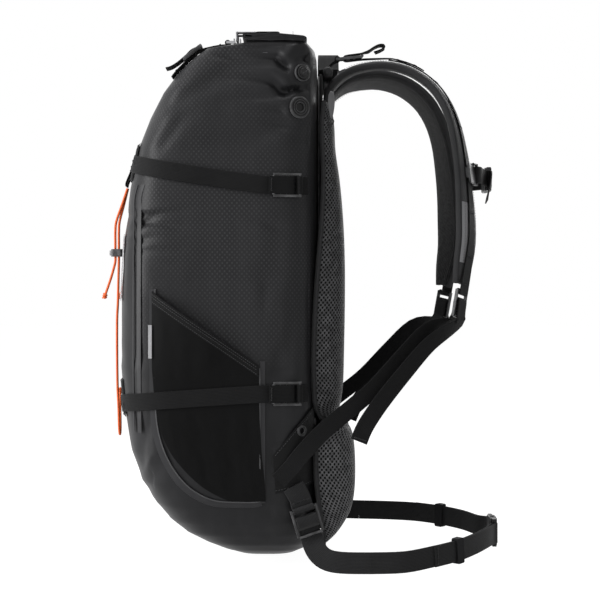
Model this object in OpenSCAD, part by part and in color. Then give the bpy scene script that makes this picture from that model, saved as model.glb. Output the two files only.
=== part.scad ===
// Roll-top mountain backpack, worn on the back with +X towards the wearer's chest.
// +Z is up, +Y is the wearer's left. The origin is where a hook bears in the haul loop.

/* [Bag] */
// Height of the bag from its base to the rim of its mouth
bag_height = 601; // [540:1:660]
// Depth of the bag from its back face to its front
bag_depth = 235; // [200:1:270]
// Width of the bag across the back
bag_width = 320; // [300:1:340]
// Wall of the coated fabric, with its weld tapes
bag_wall = 2.4; // [1.6:0.1:4]
// How far the bag's back face lies behind the haul loop
back_behind_loop = 14; // [12:0.5:18]
// How far the rim of the mouth lies below the haul loop
rim_below_loop = 6; // [4:0.5:12]

/* [Roll top] */
// Depth of the flattened roll, front to back
roll_depth = 77; // [60:1:90]
// Thickness of the flattened roll
roll_thick = 12; // [9:0.5:16]
// Overhang of the roll past the mouth at each end
roll_overhang = 3; // [1:0.5:6]
// Thickness of the stiffening slat inside the roll
slat_thick = 2; // [1:0.1:3]
// Depth of the stiffening slat
slat_depth = 40; // [20:1:50]

/* [Webbing] */
// Width of the side, sternum, lifter and shoulder webbing
narrow_web = 20; // [15:1:25]
// Width of the hip belt webbing
belt_web = 25; // [20:1:30]
// Thickness of all webbing
web_thick = 1.5; // [1.2:0.1:2]
// Height of the upper side strap's front end below the haul loop
upper_strap_drop = 143; // [130:1:160]
// Height of the lower side strap's front end below the haul loop
lower_strap_drop = 423; // [400:1:440]

/* [Ladder locks] */
// Width that the lock's frame adds to its webbing
lock_frame = 7; // [5:0.5:10]
// Thickness of the lock's frame
lock_thick = 3.2; // [2.5:0.1:4]
// Radius of the bar that a lock tilts about
bar_radius = 1.8; // [1.4:0.1:2.2]
// Running clearance round a lock's bar
bar_clearance = 0.3; // [0.2:0.05:0.5]

/* [Back system] */
// Thickness of the frame sheet
sheet_thick = 1.6; // [1:0.1:2]
// Thickness of the fabric-covered back panel
panel_thick = 4; // [3:0.1:5]
// Half the width of the back panel
panel_half = 100; // [90:1:105]
// Width of one aluminium stay
stay_width = 12; // [8:1:16]
// Thickness of one aluminium stay
stay_thick = 2.2; // [1.5:0.1:2.6]
// Half the width of the air channel between the pads
channel_half = 20; // [14:1:28]

/* [Shoulder straps] */
// Thickness of the shoulder pads
pad_thick = 12; // [9:0.5:15]
// Width of the shoulder pads at their widest
pad_width = 64; // [55:1:70]

/* [Small parts] */
// Radius of the drinking hose's hole
hose_radius = 5; // [4:0.5:6]
// Length of the hose hole's wall
hose_length = 9; // [8:0.5:12]
// Diameter of the elastic tool cord
cord_d = 3; // [2.5:0.1:3.5]
// Thickness of the side pocket's fabric
pocket_thick = 1.6; // [1.2:0.1:2.5]
// Width of the side pocket's hem
hem_width = 12; // [8:1:16]

/* [Hidden] */

RIGHT = -1;
LEFT = 1;
gap = 0.7; // what lies on the bag keeps this far off its true surface
back_x = -back_behind_loop;
rim_z = -rim_below_loop;
base_z = rim_z - bag_height;

// The bag's outline. Each row: share of the height, reach of the front, inset of the back,
// share of the width, and the squareness of the front and of the back corners.
OUTLINE = [
    [0.000, 0.387, 0.153, 0.44, 2.8, 2.8],
    [0.007, 0.443, 0.085, 0.59, 3.0, 3.2],
    [0.017, 0.515, 0.043, 0.69, 3.2, 3.6],
    [0.032, 0.600, 0.017, 0.76, 3.4, 4.0],
    [0.053, 0.698, 0.004, 0.82, 3.6, 4.6],
    [0.078, 0.766, 0.000, 0.87, 3.8, 5.0],
    [0.111, 0.834, 0.000, 0.915, 4.0, 5.5],
    [0.153, 0.894, 0.000, 0.95, 4.2, 6.0],
    [0.211, 0.945, 0.000, 0.975, 4.4, 6.0],
    [0.278, 0.979, 0.000, 0.994, 4.5, 6.0],
    [0.378, 1.000, 0.000, 1.00, 4.6, 6.0],
    [0.511, 1.000, 0.000, 1.00, 4.6, 6.0],
    [0.627, 0.983, 0.000, 1.00, 4.6, 6.0],
    [0.727, 0.953, 0.000, 0.994, 4.6, 6.0],
    [0.802, 0.915, 0.000, 0.98, 4.6, 6.0],
    [0.860, 0.855, 0.000, 0.962, 4.6, 6.0],
    [0.910, 0.787, 0.000, 0.944, 4.8, 6.0],
    [0.947, 0.711, 0.000, 0.93, 5.2, 6.5],
    [0.977, 0.630, 0.004, 0.92, 5.8, 7.0],
    [0.990, 0.579, 0.013, 0.913, 6.5, 7.5],
    [1.000, 0.374, 0.043, 0.90, 9.0, 9.0]
];
RING = 40; // points round the bag

function unit(v) = v / max(norm(v), 1e-9);
function side_of(v) = v < 0 ? -1 : 1;
function column(z, i) =
    lookup((z - base_z) / bag_height, [for (r = OUTLINE) [r[0], r[i]]]);
function front_x(z) = back_x - column(z, 1) * bag_depth;
function rear_x(z) = back_x - column(z, 2) * bag_depth;
function half_width(z) = column(z, 3) * bag_width / 2;

// A point off the bag's surface on the right side. The angle runs from 0 at the middle
// of the back, over 90 at the side, to 180 at the middle of the front.
function bag_at(angle, z, off) =
    let (c = cos(angle), s = sin(angle),
         n = c < 0 ? column(z, 4) : column(z, 5),
         middle = (front_x(z) + rear_x(z)) / 2,
         reach = (rear_x(z) - front_x(z)) / 2,
         w = half_width(z),
         out = unit([side_of(c) * pow(abs(c), 2 - 2 / n) / reach,
                     side_of(s) * pow(abs(s), 2 - 2 / n) / w]))
    [middle + reach * side_of(c) * pow(abs(c), 2 / n) + off * out[0],
     -(w * side_of(s) * pow(abs(s), 2 / n) + off * out[1]), z];
function angle_at_x(x, z) =
    let (u = (2 * x - front_x(z) - rear_x(z)) / (rear_x(z) - front_x(z)),
         n = u < 0 ? column(z, 4) : column(z, 5))
    acos(side_of(u) * pow(min(abs(u), 1), n / 2));
function angle_at_y(y, z) = 180 - asin(pow(abs(y) / half_width(z), column(z, 4) / 2));
function on_bag(x, z, off) = bag_at(angle_at_x(x, z), z, off);
function on_front(y, z, off) = bag_at(angle_at_y(y, z), z, off);
function out_of_bag(x, z) = unit(on_bag(x, z, 1) - on_bag(x, z, 0));

// A curve through control points, k steps to each.
function bend(a, b, c, d, t) =
    0.5 * (2 * b + (c - a) * t + (2 * a - 5 * b + 4 * c - d) * t * t
           + (3 * b - a - 3 * c + d) * t * t * t);
function smooth(p, k) = [
    for (i = [0 : len(p) - 2]) for (j = [0 : k - 1])
        bend(p[max(i - 1, 0)], p[i], p[i + 1], p[min(i + 2, len(p) - 1)], j / k),
    p[len(p) - 1]
];
function flipped(faces) = [for (f = faces) [f[2], f[1], f[0]]];
function first3(rows) = [for (r = rows) [r[0], r[1], r[2]]];
function last3(rows) = [for (r = rows) [r[3], r[4], r[5]]];
function along(line, i) = unit(line[min(i + 1, len(line) - 1)] - line[max(i - 1, 0)]);

// Sweeps a ring of [across, up] points along a line. across says which way is across.
module sweep(line, across, rings) {
    m = len(rings[0]);
    n = len(line);
    points = [
        for (i = [0 : n - 1])
            let (t = along(line, i), w = unit(across[i] - (across[i] * t) * t), d = cross(t, w))
            for (q = rings[i]) line[i] + q[0] * w + q[1] * d
    ];
    walls = [
        for (i = [0 : n - 2]) for (j = [0 : m - 1])
            let (a = i * m + j, b = i * m + (j + 1) % m)
            each [[a, a + m, b + m], [a, b + m, b]]
    ];
    start = [for (j = [1 : m - 2]) [0, j, j + 1]];
    stop = [for (j = [1 : m - 2]) [(n - 1) * m, (n - 1) * m + j + 1, (n - 1) * m + j]];
    polyhedron(points, concat(start, walls, stop), convexity = 10);
}

function strip(width, thick) = [
    [-width / 2, -thick / 2], [width / 2, -thick / 2],
    [width / 2, thick / 2], [-width / 2, thick / 2]
];
function oval(width, thick, square, sides) = [
    for (k = [0 : sides - 1])
        let (c = cos(360 * k / sides), s = sin(360 * k / sides))
        [width / 2 * side_of(c) * pow(abs(c), 2 / square),
         thick / 2 * side_of(s) * pow(abs(s), 2 / square)]
];
function circle_ring(d, sides) = oval(d, d, 2, sides);

// Webbing through rows of [x, y, z, across x, across y, across z].
module webbing(rows, width, k = 3) {
    path = smooth(rows, k);
    sweep(first3(path), last3(path), [for (p = path) strip(width, web_thick)]);
}

// A round cord through points. Its last stretch can be thicker, as a stopper knot.
module cord(points, k, knot = 1) {
    path = smooth(points, k);
    from = len(path) - 4;
    sweep(path, [for (p = path) [0, 1, 0.01]],
          [for (i = [0 : len(path) - 1]) circle_ring(cord_d * (i > from ? knot : 1), 8)]);
}

// A sheet laid on the bag. Each column is [angle, low z, high z, lift]. The lift takes the
// sheet off the bag, from nothing at the height lift_from to all of it at the column's top.
module patch(columns, off, thick, rows, lift_from = 0) {
    n = len(columns);
    layer = n * (rows + 1);
    function height(c, r) = c[1] + (c[2] - c[1]) * r / rows;
    function lifted(c, z) =
        len(c) < 4 ? 0 : c[3] * max(z - lift_from, 0) / max(c[2] - lift_from, 1);
    points = [
        for (o = [off, off + thick]) for (c = columns) for (r = [0 : rows])
            bag_at(c[0], height(c, r), o + lifted(c, height(c, r)))
    ];
    function id(side, i, r) = side * layer + i * (rows + 1) + r;
    outer = [
        for (i = [0 : n - 2]) for (r = [0 : rows - 1])
            each [[id(1, i, r), id(1, i + 1, r), id(1, i + 1, r + 1)],
                  [id(1, i, r), id(1, i + 1, r + 1), id(1, i, r + 1)]]
    ];
    inner = [
        for (i = [0 : n - 2]) for (r = [0 : rows - 1])
            each [[id(0, i, r), id(0, i + 1, r + 1), id(0, i + 1, r)],
                  [id(0, i, r), id(0, i, r + 1), id(0, i + 1, r + 1)]]
    ];
    low_high = [
        for (i = [0 : n - 2])
            each [[id(0, i, 0), id(0, i + 1, 0), id(1, i + 1, 0)],
                  [id(0, i, 0), id(1, i + 1, 0), id(1, i, 0)],
                  [id(0, i, rows), id(1, i + 1, rows), id(0, i + 1, rows)],
                  [id(0, i, rows), id(1, i, rows), id(1, i + 1, rows)]]
    ];
    ends = [
        for (r = [0 : rows - 1])
            each [[id(0, 0, r), id(1, 0, r + 1), id(0, 0, r + 1)],
                  [id(0, 0, r), id(1, 0, r), id(1, 0, r + 1)],
                  [id(0, n - 1, r), id(0, n - 1, r + 1), id(1, n - 1, r + 1)],
                  [id(0, n - 1, r), id(1, n - 1, r + 1), id(1, n - 1, r)]]
    ];
    polyhedron(points, flipped(concat(outer, inner, low_high, ends)), convexity = 10);
}

// What is modelled on the right side is mirrored for the left.
module sided(side) {
    if (side == RIGHT) children();
    else mirror([0, 1, 0]) children();
}

// A frame of [place, x direction, z direction] puts a small part on the pack.
module placed(frame) {
    x = unit(frame[1]);
    z = unit(frame[2] - (frame[2] * x) * x);
    y = cross(z, x);
    multmatrix([
        [x[0], y[0], z[0], frame[0][0]],
        [x[1], y[1], z[1], frame[0][1]],
        [x[2], y[2], z[2], frame[0][2]],
        [0, 0, 0, 1]
    ]) children();
}
function frame_point(frame, p) =
    let (x = unit(frame[1]), z = unit(frame[2] - (frame[2] * x) * x), y = cross(z, x))
    frame[0] + p[0] * x + p[1] * y + p[2] * z;
function frame_row(frame, p) =
    let (x = unit(frame[1]), z = unit(frame[2] - (frame[2] * x) * x), y = cross(z, x),
         q = frame_point(frame, p))
    [q[0], q[1], q[2], y[0], y[1], y[2]];

// A block with its four upright edges rounded.
module rounded_block(length, width, height, radius) {
    linear_extrude(height, center = true) {
        square([length - 2 * radius, width], center = true);
        square([length, width - 2 * radius], center = true);
        for (x = [-1, 1], y = [-1, 1])
            translate([x * (length / 2 - radius), y * (width / 2 - radius)])
                circle(radius, $fn = 32);
    }
}

/* Ladder locks: x runs along the webbing from the bar that the lock tilts about. */
eye_wall = web_thick;
eye_radius = bar_radius + bar_clearance + eye_wall;
lock_length = 30;
wrap_x = 13; // middle of the bar that the free webbing turns round
grip_x = 21; // middle of the toothed bar
lock_lift = eye_radius; // the bar's height over what the lock lies on

module ladder_lock(web) {
    wide = web + lock_frame;
    rail = (lock_frame - 1) / 2;
    color("dimgray") {
        for (s = [-1, 1])
            translate([lock_length / 2 - 1, s * (wide - rail) / 2, 0])
                cube([lock_length + 2, rail, lock_thick], center = true);
        rotate([90, 0, 0]) cylinder(r = bar_radius, h = wide - rail, center = true, $fn = 32);
        translate([wrap_x, 0, 0]) cube([4, wide - rail, lock_thick * 0.8], center = true);
        translate([grip_x, 0, 0]) cube([3, wide - rail, lock_thick * 0.8], center = true);
        translate([lock_length, 0, lock_thick * 0.3]) rotate([90, 0, 0])
            cylinder(r = lock_thick / 2, h = wide - 2 * rail + 1, center = true, $fn = 32);
    }
}

// The sewn eye that holds a lock's bar, in the lock's own directions.
module web_eye(web) {
    rotate([90, 0, 0]) difference() {
        cylinder(r = eye_radius, h = web, center = true, $fn = 32);
        cylinder(r = bar_radius + bar_clearance, h = web + 2, center = true, $fn = 32);
    }
}

// The free webbing's way round the lock's middle bar: under it, over it and back out.
function wrap(frame, from, to) = [
    for (p = [[from, 0, -3.1], [grip_x - 2, 0, -3.1], [wrap_x - 2, 0, -3.1], [8, 0, -1.6],
              [7.6, 0, 0.6], [8.8, 0, 2.6], [wrap_x, 0, 3.4], [grip_x, 0, 3.6], [to, 0, 4.2]])
        frame_row(frame, p)
];

/* Bag */
function bag_ring(z, inset) = [
    for (k = [0 : RING - 1]) bag_at(360 * k / RING, z, -inset)
];
module bag_skin() {
    n = len(OUTLINE);
    heights = [for (r = OUTLINE) base_z + r[0] * bag_height];
    // the lining keeps one wall above the base and one wall below the shoulders
    lining = [
        for (i = [0 : n - 1])
            i == n - 1 ? heights[i] : heights[i] + bag_wall * cos(180 * OUTLINE[i][0])
    ];
    outer = [for (z = heights) each bag_ring(z, 0)];
    inner = [
        for (i = [0 : n - 1])
            each [for (p = bag_ring(heights[i], bag_wall)) [p[0], p[1], lining[i]]]
    ];
    middle = (front_x(base_z) + rear_x(base_z)) / 2;
    centres = [[middle, 0, base_z], [middle, 0, base_z + bag_wall]];
    shift = n * RING;
    walls = [
        for (i = [0 : n - 2]) for (j = [0 : RING - 1])
            let (a = i * RING + j, b = i * RING + (j + 1) % RING)
            each [[a, b, b + RING], [a, b + RING, a + RING],
                  [shift + a, shift + b + RING, shift + b],
                  [shift + a, shift + a + RING, shift + b + RING]]
    ];
    floors = [
        for (j = [0 : RING - 1])
            each [[2 * shift, (j + 1) % RING, j],
                  [2 * shift + 1, shift + j, shift + (j + 1) % RING]]
    ];
    rim = [
        for (j = [0 : RING - 1])
            let (a = (n - 1) * RING + j, b = (n - 1) * RING + (j + 1) % RING)
            each [[a, b, shift + b], [a, shift + b, shift + a]]
    ];
    polyhedron(concat(outer, inner, centres), concat(walls, floors, rim), convexity = 10);
}

/* Places on the bag that the small parts share */
port_x = -36;
port_z = -82;
port_out = out_of_bag(port_x, port_z);
port_frame = [on_bag(port_x, port_z, gap), cross([0, 0, 1], port_out), port_out];
valve_x = -33;
valve_z = -42;
valve_out = out_of_bag(valve_x, valve_z);
valve_frame = [on_bag(valve_x, valve_z, gap), cross([0, 0, 1], valve_out), valve_out];
flange_thick = 2.6;
collar_wall = 2;
valve_bore = 4;
valve_travel = 12;

module bag_shell() {
    color([0.2, 0.2, 0.21]) difference() {
        bag_skin();
        placed(port_frame) cylinder(r = hose_radius + collar_wall + gap, h = 40, center = true, $fn = 32);
        placed(valve_frame) cylinder(r = valve_bore + collar_wall + gap, h = 40, center = true, $fn = 32);
    }
}

module hose_port() {
    color([0.08, 0.08, 0.08]) placed(port_frame) difference() {
        union() {
            translate([0, 0, flange_thick / 2]) cylinder(r = 13, h = flange_thick, center = true, $fn = 64);
            translate([0, 0, flange_thick - hose_length])
                cylinder(r = hose_radius + collar_wall, h = hose_length, $fn = 64);
        }
        translate([0, 0, flange_thick - hose_length - 1])
            cylinder(r = hose_radius, h = hose_length + 2, $fn = 64);
    }
}

module valve_seat() {
    color([0.1, 0.1, 0.1]) placed(valve_frame) difference() {
        union() {
            cylinder(r = 10, h = flange_thick, $fn = 64);
            translate([0, 0, -6]) cylinder(r = valve_bore + collar_wall, h = 7, $fn = 64);
        }
        translate([0, 0, -7]) cylinder(r = valve_bore, h = 12, $fn = 64);
    }
}

module valve_plug() {
    color([0.14, 0.14, 0.15]) placed(valve_frame) {
        translate([0, 0, flange_thick + 0.2]) {
            cylinder(r = 7.5, h = 2.4, $fn = 64);
            translate([0, 0, 2]) cylinder(r = 5, h = 2.6, $fn = 64);
        }
        translate([0, 0, -5]) cylinder(r = valve_bore - 0.15, h = 5.2 + flange_thick, $fn = 64);
    }
}

/* Roll top */
roll_middle = rear_x(rim_z) - 2 - roll_depth / 2;
roll_base = rim_z + 0.5;
roll_half = half_width(rim_z) + roll_overhang;
roll_front = roll_middle - roll_depth / 2;
slat_room = 1; // room round the slat in its sleeve
module stadium(length, thick) {
    square([length - thick, thick], center = true);
    for (s = [-1, 1]) translate([s * (length - thick) / 2, 0]) circle(thick / 2, $fn = 48);
}
module roll_fabric() {
    color([0.17, 0.17, 0.18])
        translate([roll_middle, 0, roll_base + roll_thick / 2]) rotate([90, 0, 0])
            difference() {
                linear_extrude(2 * roll_half, center = true) stadium(roll_depth, roll_thick);
                cube([slat_depth + slat_room, slat_thick + slat_room, 2 * roll_half - 8], center = true);
            }
}
module roll_slat() {
    color("black") translate([roll_middle, 0, roll_base + roll_thick / 2])
        cube([slat_depth, 2 * roll_half - 12, slat_thick], center = true);
}

/* Roll closure: wire loops on the roll hang over its front edge into open hooks */
closure_y = 112;
wire = 1.4; // radius of the loop's wire
hook_plate = 1.4; // thickness of the hook's metal
loop_half = 9.5; // from the middle of the loop to the middle of each leg
loop_x = roll_front - 4.9; // middle of the loop's front wire
loop_z = roll_base + 5;
loop_top = roll_base + roll_thick + 0.3 + wire; // where the loop lies over the roll
loop_rear = roll_front + 20;
hook_room = 1.3; // room round the loop's wire in the hook
hook_bar = 1.5; // radius of the bar that holds the closure strap
hook_bar_x = loop_x - 11.1;
hook_bar_z = loop_z - 2.6;
hook_foot = loop_z - wire - hook_room - hook_plate;
hook_tip_x = loop_x + wire + hook_room;
hook_front_x = loop_x - wire - hook_room - hook_plate;

module rod(from, to, radius) {
    run = to - from;
    placed([from, cross(run, [0.3, 1, 0.2]), run]) cylinder(r = radius, h = norm(run), $fn = 24);
}
module roll_loops() {
    for (side = [RIGHT, LEFT]) sided(side) translate([0, -closure_y, 0]) {
        color("gray") {
            for (s = [-1, 1]) {
                rod([loop_x, s * loop_half, loop_z - wire], [loop_x, s * loop_half, loop_top + wire], wire);
                rod([loop_x - wire, s * loop_half, loop_top], [loop_rear, s * loop_half, loop_top], wire);
            }
            for (p = [[loop_x, loop_z], [loop_rear - wire, loop_top]])
                rod([p[0], -loop_half, p[1]], [p[0], loop_half, p[1]], wire);
        }
        color([0.1, 0.1, 0.1]) translate([loop_rear + 11, 0, roll_base + roll_thick + 0.3 + web_thick / 2])
            cube([24, 2 * loop_half + 4, web_thick], center = true);
    }
}
module closure_hooks() {
    hook_half = 6;
    cheek_y = narrow_web / 2 + 2;
    color([0.3, 0.3, 0.3]) for (side = [RIGHT, LEFT]) sided(side) translate([0, -closure_y, 0]) {
        translate([hook_front_x, -hook_half, hook_foot])
            cube([hook_tip_x + hook_plate - hook_front_x, 2 * hook_half, hook_plate]);
        translate([hook_tip_x, -hook_half, hook_foot]) cube([hook_plate, 2 * hook_half, 7]);
        translate([hook_front_x, -cheek_y - 1.5, hook_foot]) cube([hook_plate, 2 * cheek_y + 3, 5.5]);
        for (s = [-1, 1])
            translate([(hook_front_x + hook_bar_x) / 2, s * cheek_y, hook_bar_z])
                cube([hook_front_x - hook_bar_x + 2 * hook_bar, 3, 2 * hook_bar], center = true);
        rod([hook_bar_x, -cheek_y, hook_bar_z], [hook_bar_x, cheek_y, hook_bar_z], hook_bar);
    }
}
module closure_straps() {
    eye = hook_bar + bar_clearance + web_thick;
    rise = 1.6; // the strap's middle over the bag's front slope
    slope = [for (h = [0.928, 0.944, 0.96, 0.972, 0.982, 0.988]) base_z + h * bag_height];
    color([0.12, 0.12, 0.12]) for (side = [RIGHT, LEFT]) sided(side) {
        webbing(concat(
            [for (z = slope) let (p = on_front(closure_y, z, gap + rise)) [p[0], -closure_y, p[2] + rise, 0, 1, 0]],
            [[hook_bar_x - 12, -closure_y, hook_bar_z - 3.6, 0, 1, 0],
             [hook_bar_x, -closure_y, hook_bar_z - eye + web_thick / 2, 0, 1, 0]]),
            narrow_web);
        translate([hook_bar_x, -closure_y, hook_bar_z]) rotate([90, 0, 0]) difference() {
            cylinder(r = eye, h = narrow_web, center = true, $fn = 32);
            cylinder(r = hook_bar + bar_clearance, h = narrow_web + 2, center = true, $fn = 32);
        }
    }
}

/* Front of the bag */
tool_y = 70;
front_upper_z = -(upper_strap_drop - 2);
front_lower_z = -(lower_strap_drop - 6);
module front_patch(z, tall, y0, y1) {
    steps = 8;
    patch([for (k = [0 : steps]) let (y = y0 + (y1 - y0) * k / steps)
        [angle_at_y(y, z), z - tall / 2, z + tall / 2]], gap, web_thick, 8);
}
tab_foot = front_upper_z - 27;
tab_half = 6;
tab_x = on_front(tool_y - tab_half, front_upper_z, 0)[0] - gap - web_thick - 0.4;
tab_low_x = on_front(tool_y - tab_half, tab_foot, 0)[0] - gap - web_thick - 0.4;
module front_anchors() {
    color([0.07, 0.07, 0.07]) for (side = [RIGHT, LEFT]) sided(side) {
        for (z = [front_upper_z, front_lower_z])
            front_patch(z, 44, tool_y - 14, tool_y + 46);
        // a folded tab sewn to the upper patch holds the ends of the tool cord
        translate([0, -tool_y + tab_half, 0]) rotate([90, 0, 0]) linear_extrude(2 * tab_half)
            polygon([[tab_x, front_upper_z - 2], [tab_x - 2.6, front_upper_z - 6],
                     [tab_low_x - 4.6, tab_foot], [tab_low_x, tab_foot]]);
    }
}
module reflective_strip() {
    color([0.75, 0.75, 0.75]) patch(
        [for (k = [0 : 2]) let (y = 101 + 6 * k) [angle_at_y(y, -265), -304, -225]],
        gap, 0.8, 6);
}

// The tool cord hangs from the upper anchor. x and z along its two stretches.
// Each row is the way forward of the bag, the way towards its middle, and the height.
LONG_CORD = [
    [-241.6, 1.7, -168.7], [-246.4, 1.4, -188], [-251.4, 0.2, -208], [-252.3, 0, -220],
    [-252.3, 0, -234], [-252.3, 0, -246], [-252.3, 0, -256], [-252.8, 0, -275], [-253.5, 0, -305], [-254.5, 0, -326], [-254.5, 0, -365], [-254, 0, -403],
    [-252.8, 0, -430], [-252.3, 0.2, -448], [-252, 1.6, -459], [-251.8, 6, -464], [-251.8, 10.4, -459],
    [-252, 12, -448], [-252.3, 12, -428], [-252.1, 12, -408]
];
SHORT_CORD = [
    [-241.6, -1.7, -168.7], [-248.2, -1.4, -188], [-255.3, -0.2, -208], [-256.6, 0, -220],
    [-256.6, 0, -234], [-256.6, 0, -246], [-256.6, 0, -256], [-258.9, 0, -266], [-262.5, 0.5, -278], [-267, 1, -291], [-269, 1, -297], [-270, 1, -301]
];
front_shift = front_x(-300) + 249;
module tool_cord() {
    color([0.95, 0.35, 0.1]) translate([front_shift, -tool_y, 0]) {
        cord(LONG_CORD, 2);
        cord(SHORT_CORD, 2, 1.9);
    }
}

/* Cord lock: a barrel round both cords, with a sprung button on its front */
lock_z = -246;
lock_cx = -254.4;
button_r = 3.2;
module cord_lock() {
    color([0.05, 0.05, 0.05]) translate([front_shift + lock_cx, -tool_y, lock_z]) difference() {
        rounded_block(14, 10, 9, 3);
        cube([cord_d * 2 + 2.4, cord_d + 1.6, 20], center = true);
        translate([-9, 0, 0]) rotate([0, 90, 0]) cylinder(r = button_r + 0.3, h = 4.1, $fn = 48);
    }
}
module cord_button() {
    color([0.55, 0.55, 0.55])
        translate([front_shift + lock_cx - 8.7, -tool_y, lock_z]) rotate([0, 90, 0])
            cylinder(r = button_r, h = 2.6, $fn = 48);
}

/* Side straps: [x of the lock's bar, its z, z of the strap's front end] */
lock_bar_x = -36;
upper_rear_z = -172;
lower_rear_z = -409;
strap_off = gap + pocket_thick + 0.7 + web_thick / 2; // the straps pass over the pockets
stub_turn = 33;
stub_length = 16;
// a lock lies along the bag's surface at its own middle
function side_frame(z) =
    let (half = lock_length / 2, middle = lock_bar_x - half,
         out = out_of_bag(middle, z), x = unit(cross([0, 0, 1], out)))
    [on_bag(middle, z, gap + lock_lift) + half * x, -x, out];
function strap_rows(z0, z1) =
    let (frame = side_frame(z1), x_end = lock_bar_x - lock_length - 8, x_front = front_x(z0) + 6)
    concat(
        [for (k = [0 : 12])
            let (s = k / 12, x = x_front + (x_end - x_front) * pow(s, 1.5), z = z0 + (z1 - z0) * s,
                 p = on_bag(x, z, strap_off), across = unit(on_bag(x, z + 8, 0) - on_bag(x, z - 8, 0)))
            [p[0], p[1], p[2], 0, across[1], across[2]]],
        [for (p = [[grip_x, 0, -3.0], [wrap_x - 2, 0, -3.0], [8, 0, -1.6], [7.6, 0, 0.6],
                   [8.8, 0, 2.6], [wrap_x, 0, 3.4], [grip_x, 0, 3.6], [lock_length + 6, 0, 3.9]])
            let (q = frame_point(frame, p)) [q[0], q[1], q[2], 0, 0, 1]]);
module side_strap(z0, z1) {
    frame = side_frame(z1);
    color([0.08, 0.08, 0.08]) {
        webbing(strap_rows(z0, z1), narrow_web, 2);
        placed(frame) web_eye(narrow_web);
        // the short fixed end turns down from the lock's bar to the bag
        placed(frame) rotate([0, -stub_turn, 0])
            translate([-stub_length / 2, 0, -eye_radius + eye_wall / 2])
                cube([stub_length, narrow_web, eye_wall], center = true);
    }
}
module side_lock(z1) {
    placed(side_frame(z1)) ladder_lock(narrow_web);
}

/* Side pocket: outline in x and z on the bag's side */
pocket_front = -199;
pocket_rear = -81;
pocket_foot = -533;
hem_front_z = -294;
hem_rear_z = -378;
pocket_steps = 12;
function pocket_x(k) = pocket_front + (pocket_rear - pocket_front) * k / pocket_steps;
function pocket_top(x) =
    hem_front_z + (hem_rear_z - hem_front_z) * (x - pocket_front) / (pocket_rear - pocket_front);
function pocket_low(x) =
    let (reach = 78, rise = 110, u = min((x - pocket_front) / reach, 1))
    pocket_foot + rise * (1 - sqrt(1 - pow(1 - u, 2)));
pocket_mean_z = -430;
pocket_gape = 17; // how far the hem stands off the bag, at most
gape_from = -396; // the mouth opens above the lower side strap
function gape(k) =
    pocket_gape * sin(180 * k / pocket_steps) * (pocket_top(pocket_x(k)) - gape_from)
    / (hem_front_z - gape_from);
module side_pocket() {
    color([0.05, 0.05, 0.06]) patch(
        [for (k = [0 : pocket_steps]) let (x = pocket_x(k))
            [angle_at_x(x, pocket_mean_z), pocket_low(x), pocket_top(x), gape(k)]],
        gap + 0.1, pocket_thick, 12, gape_from);
    color([0.1, 0.1, 0.1]) patch(
        [for (k = [0 : pocket_steps]) let (x = pocket_x(k))
            [angle_at_x(x, pocket_mean_z), pocket_top(x) - hem_width, pocket_top(x) + 1.5, gape(k)]],
        gap + pocket_thick + 0.2, 1, 1, gape_from);
}
module pocket_tag() {
    z = -350;
    color([0.85, 0.85, 0.85]) patch(
        [for (x = [-3.5, -1.5, 0.5]) [angle_at_x(pocket_front + x, pocket_mean_z), z - 19, z + 19]],
        gap + pocket_thick + 0.9, 0.8, 3);
}

/* Back system */
sheet_x = back_x + 0.3;
panel_x = sheet_x + sheet_thick + 0.1;
pad_back_x = panel_x + panel_thick + 0.4;
panel_top = -30;
panel_foot = -578;
stay_y = 62;
stay_length = 470;
stay_top = -52;
module upright(x, thick, half, top, foot, radius) {
    translate([x + thick / 2, 0, (top + foot) / 2]) rotate([0, 90, 0])
        rounded_block(top - foot, 2 * half, thick, radius);
}
module frame_sheet() {
    color([0.9, 0.9, 0.88]) upright(sheet_x, sheet_thick, panel_half - 4, panel_top - 4, panel_foot + 6, 30);
}
module frame_stays() {
    color("silver") for (s = [-1, 1])
        translate([panel_x + 0.2 + stay_thick / 2, s * stay_y, stay_top - stay_length / 2])
            rotate([0, 90, 0]) rounded_block(stay_length, stay_width, stay_thick, 4);
}
module back_panel() {
    color([0.04, 0.04, 0.04]) difference() {
        upright(panel_x, panel_thick, panel_half, panel_top, panel_foot, 34);
        for (s = [-1, 1])
            translate([panel_x + 0.2 + stay_thick / 2 - 0.4, s * stay_y, stay_top - stay_length / 2])
                cube([stay_thick + 0.8, stay_width + 0.8, stay_length + 0.8], center = true);
    }
}

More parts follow.
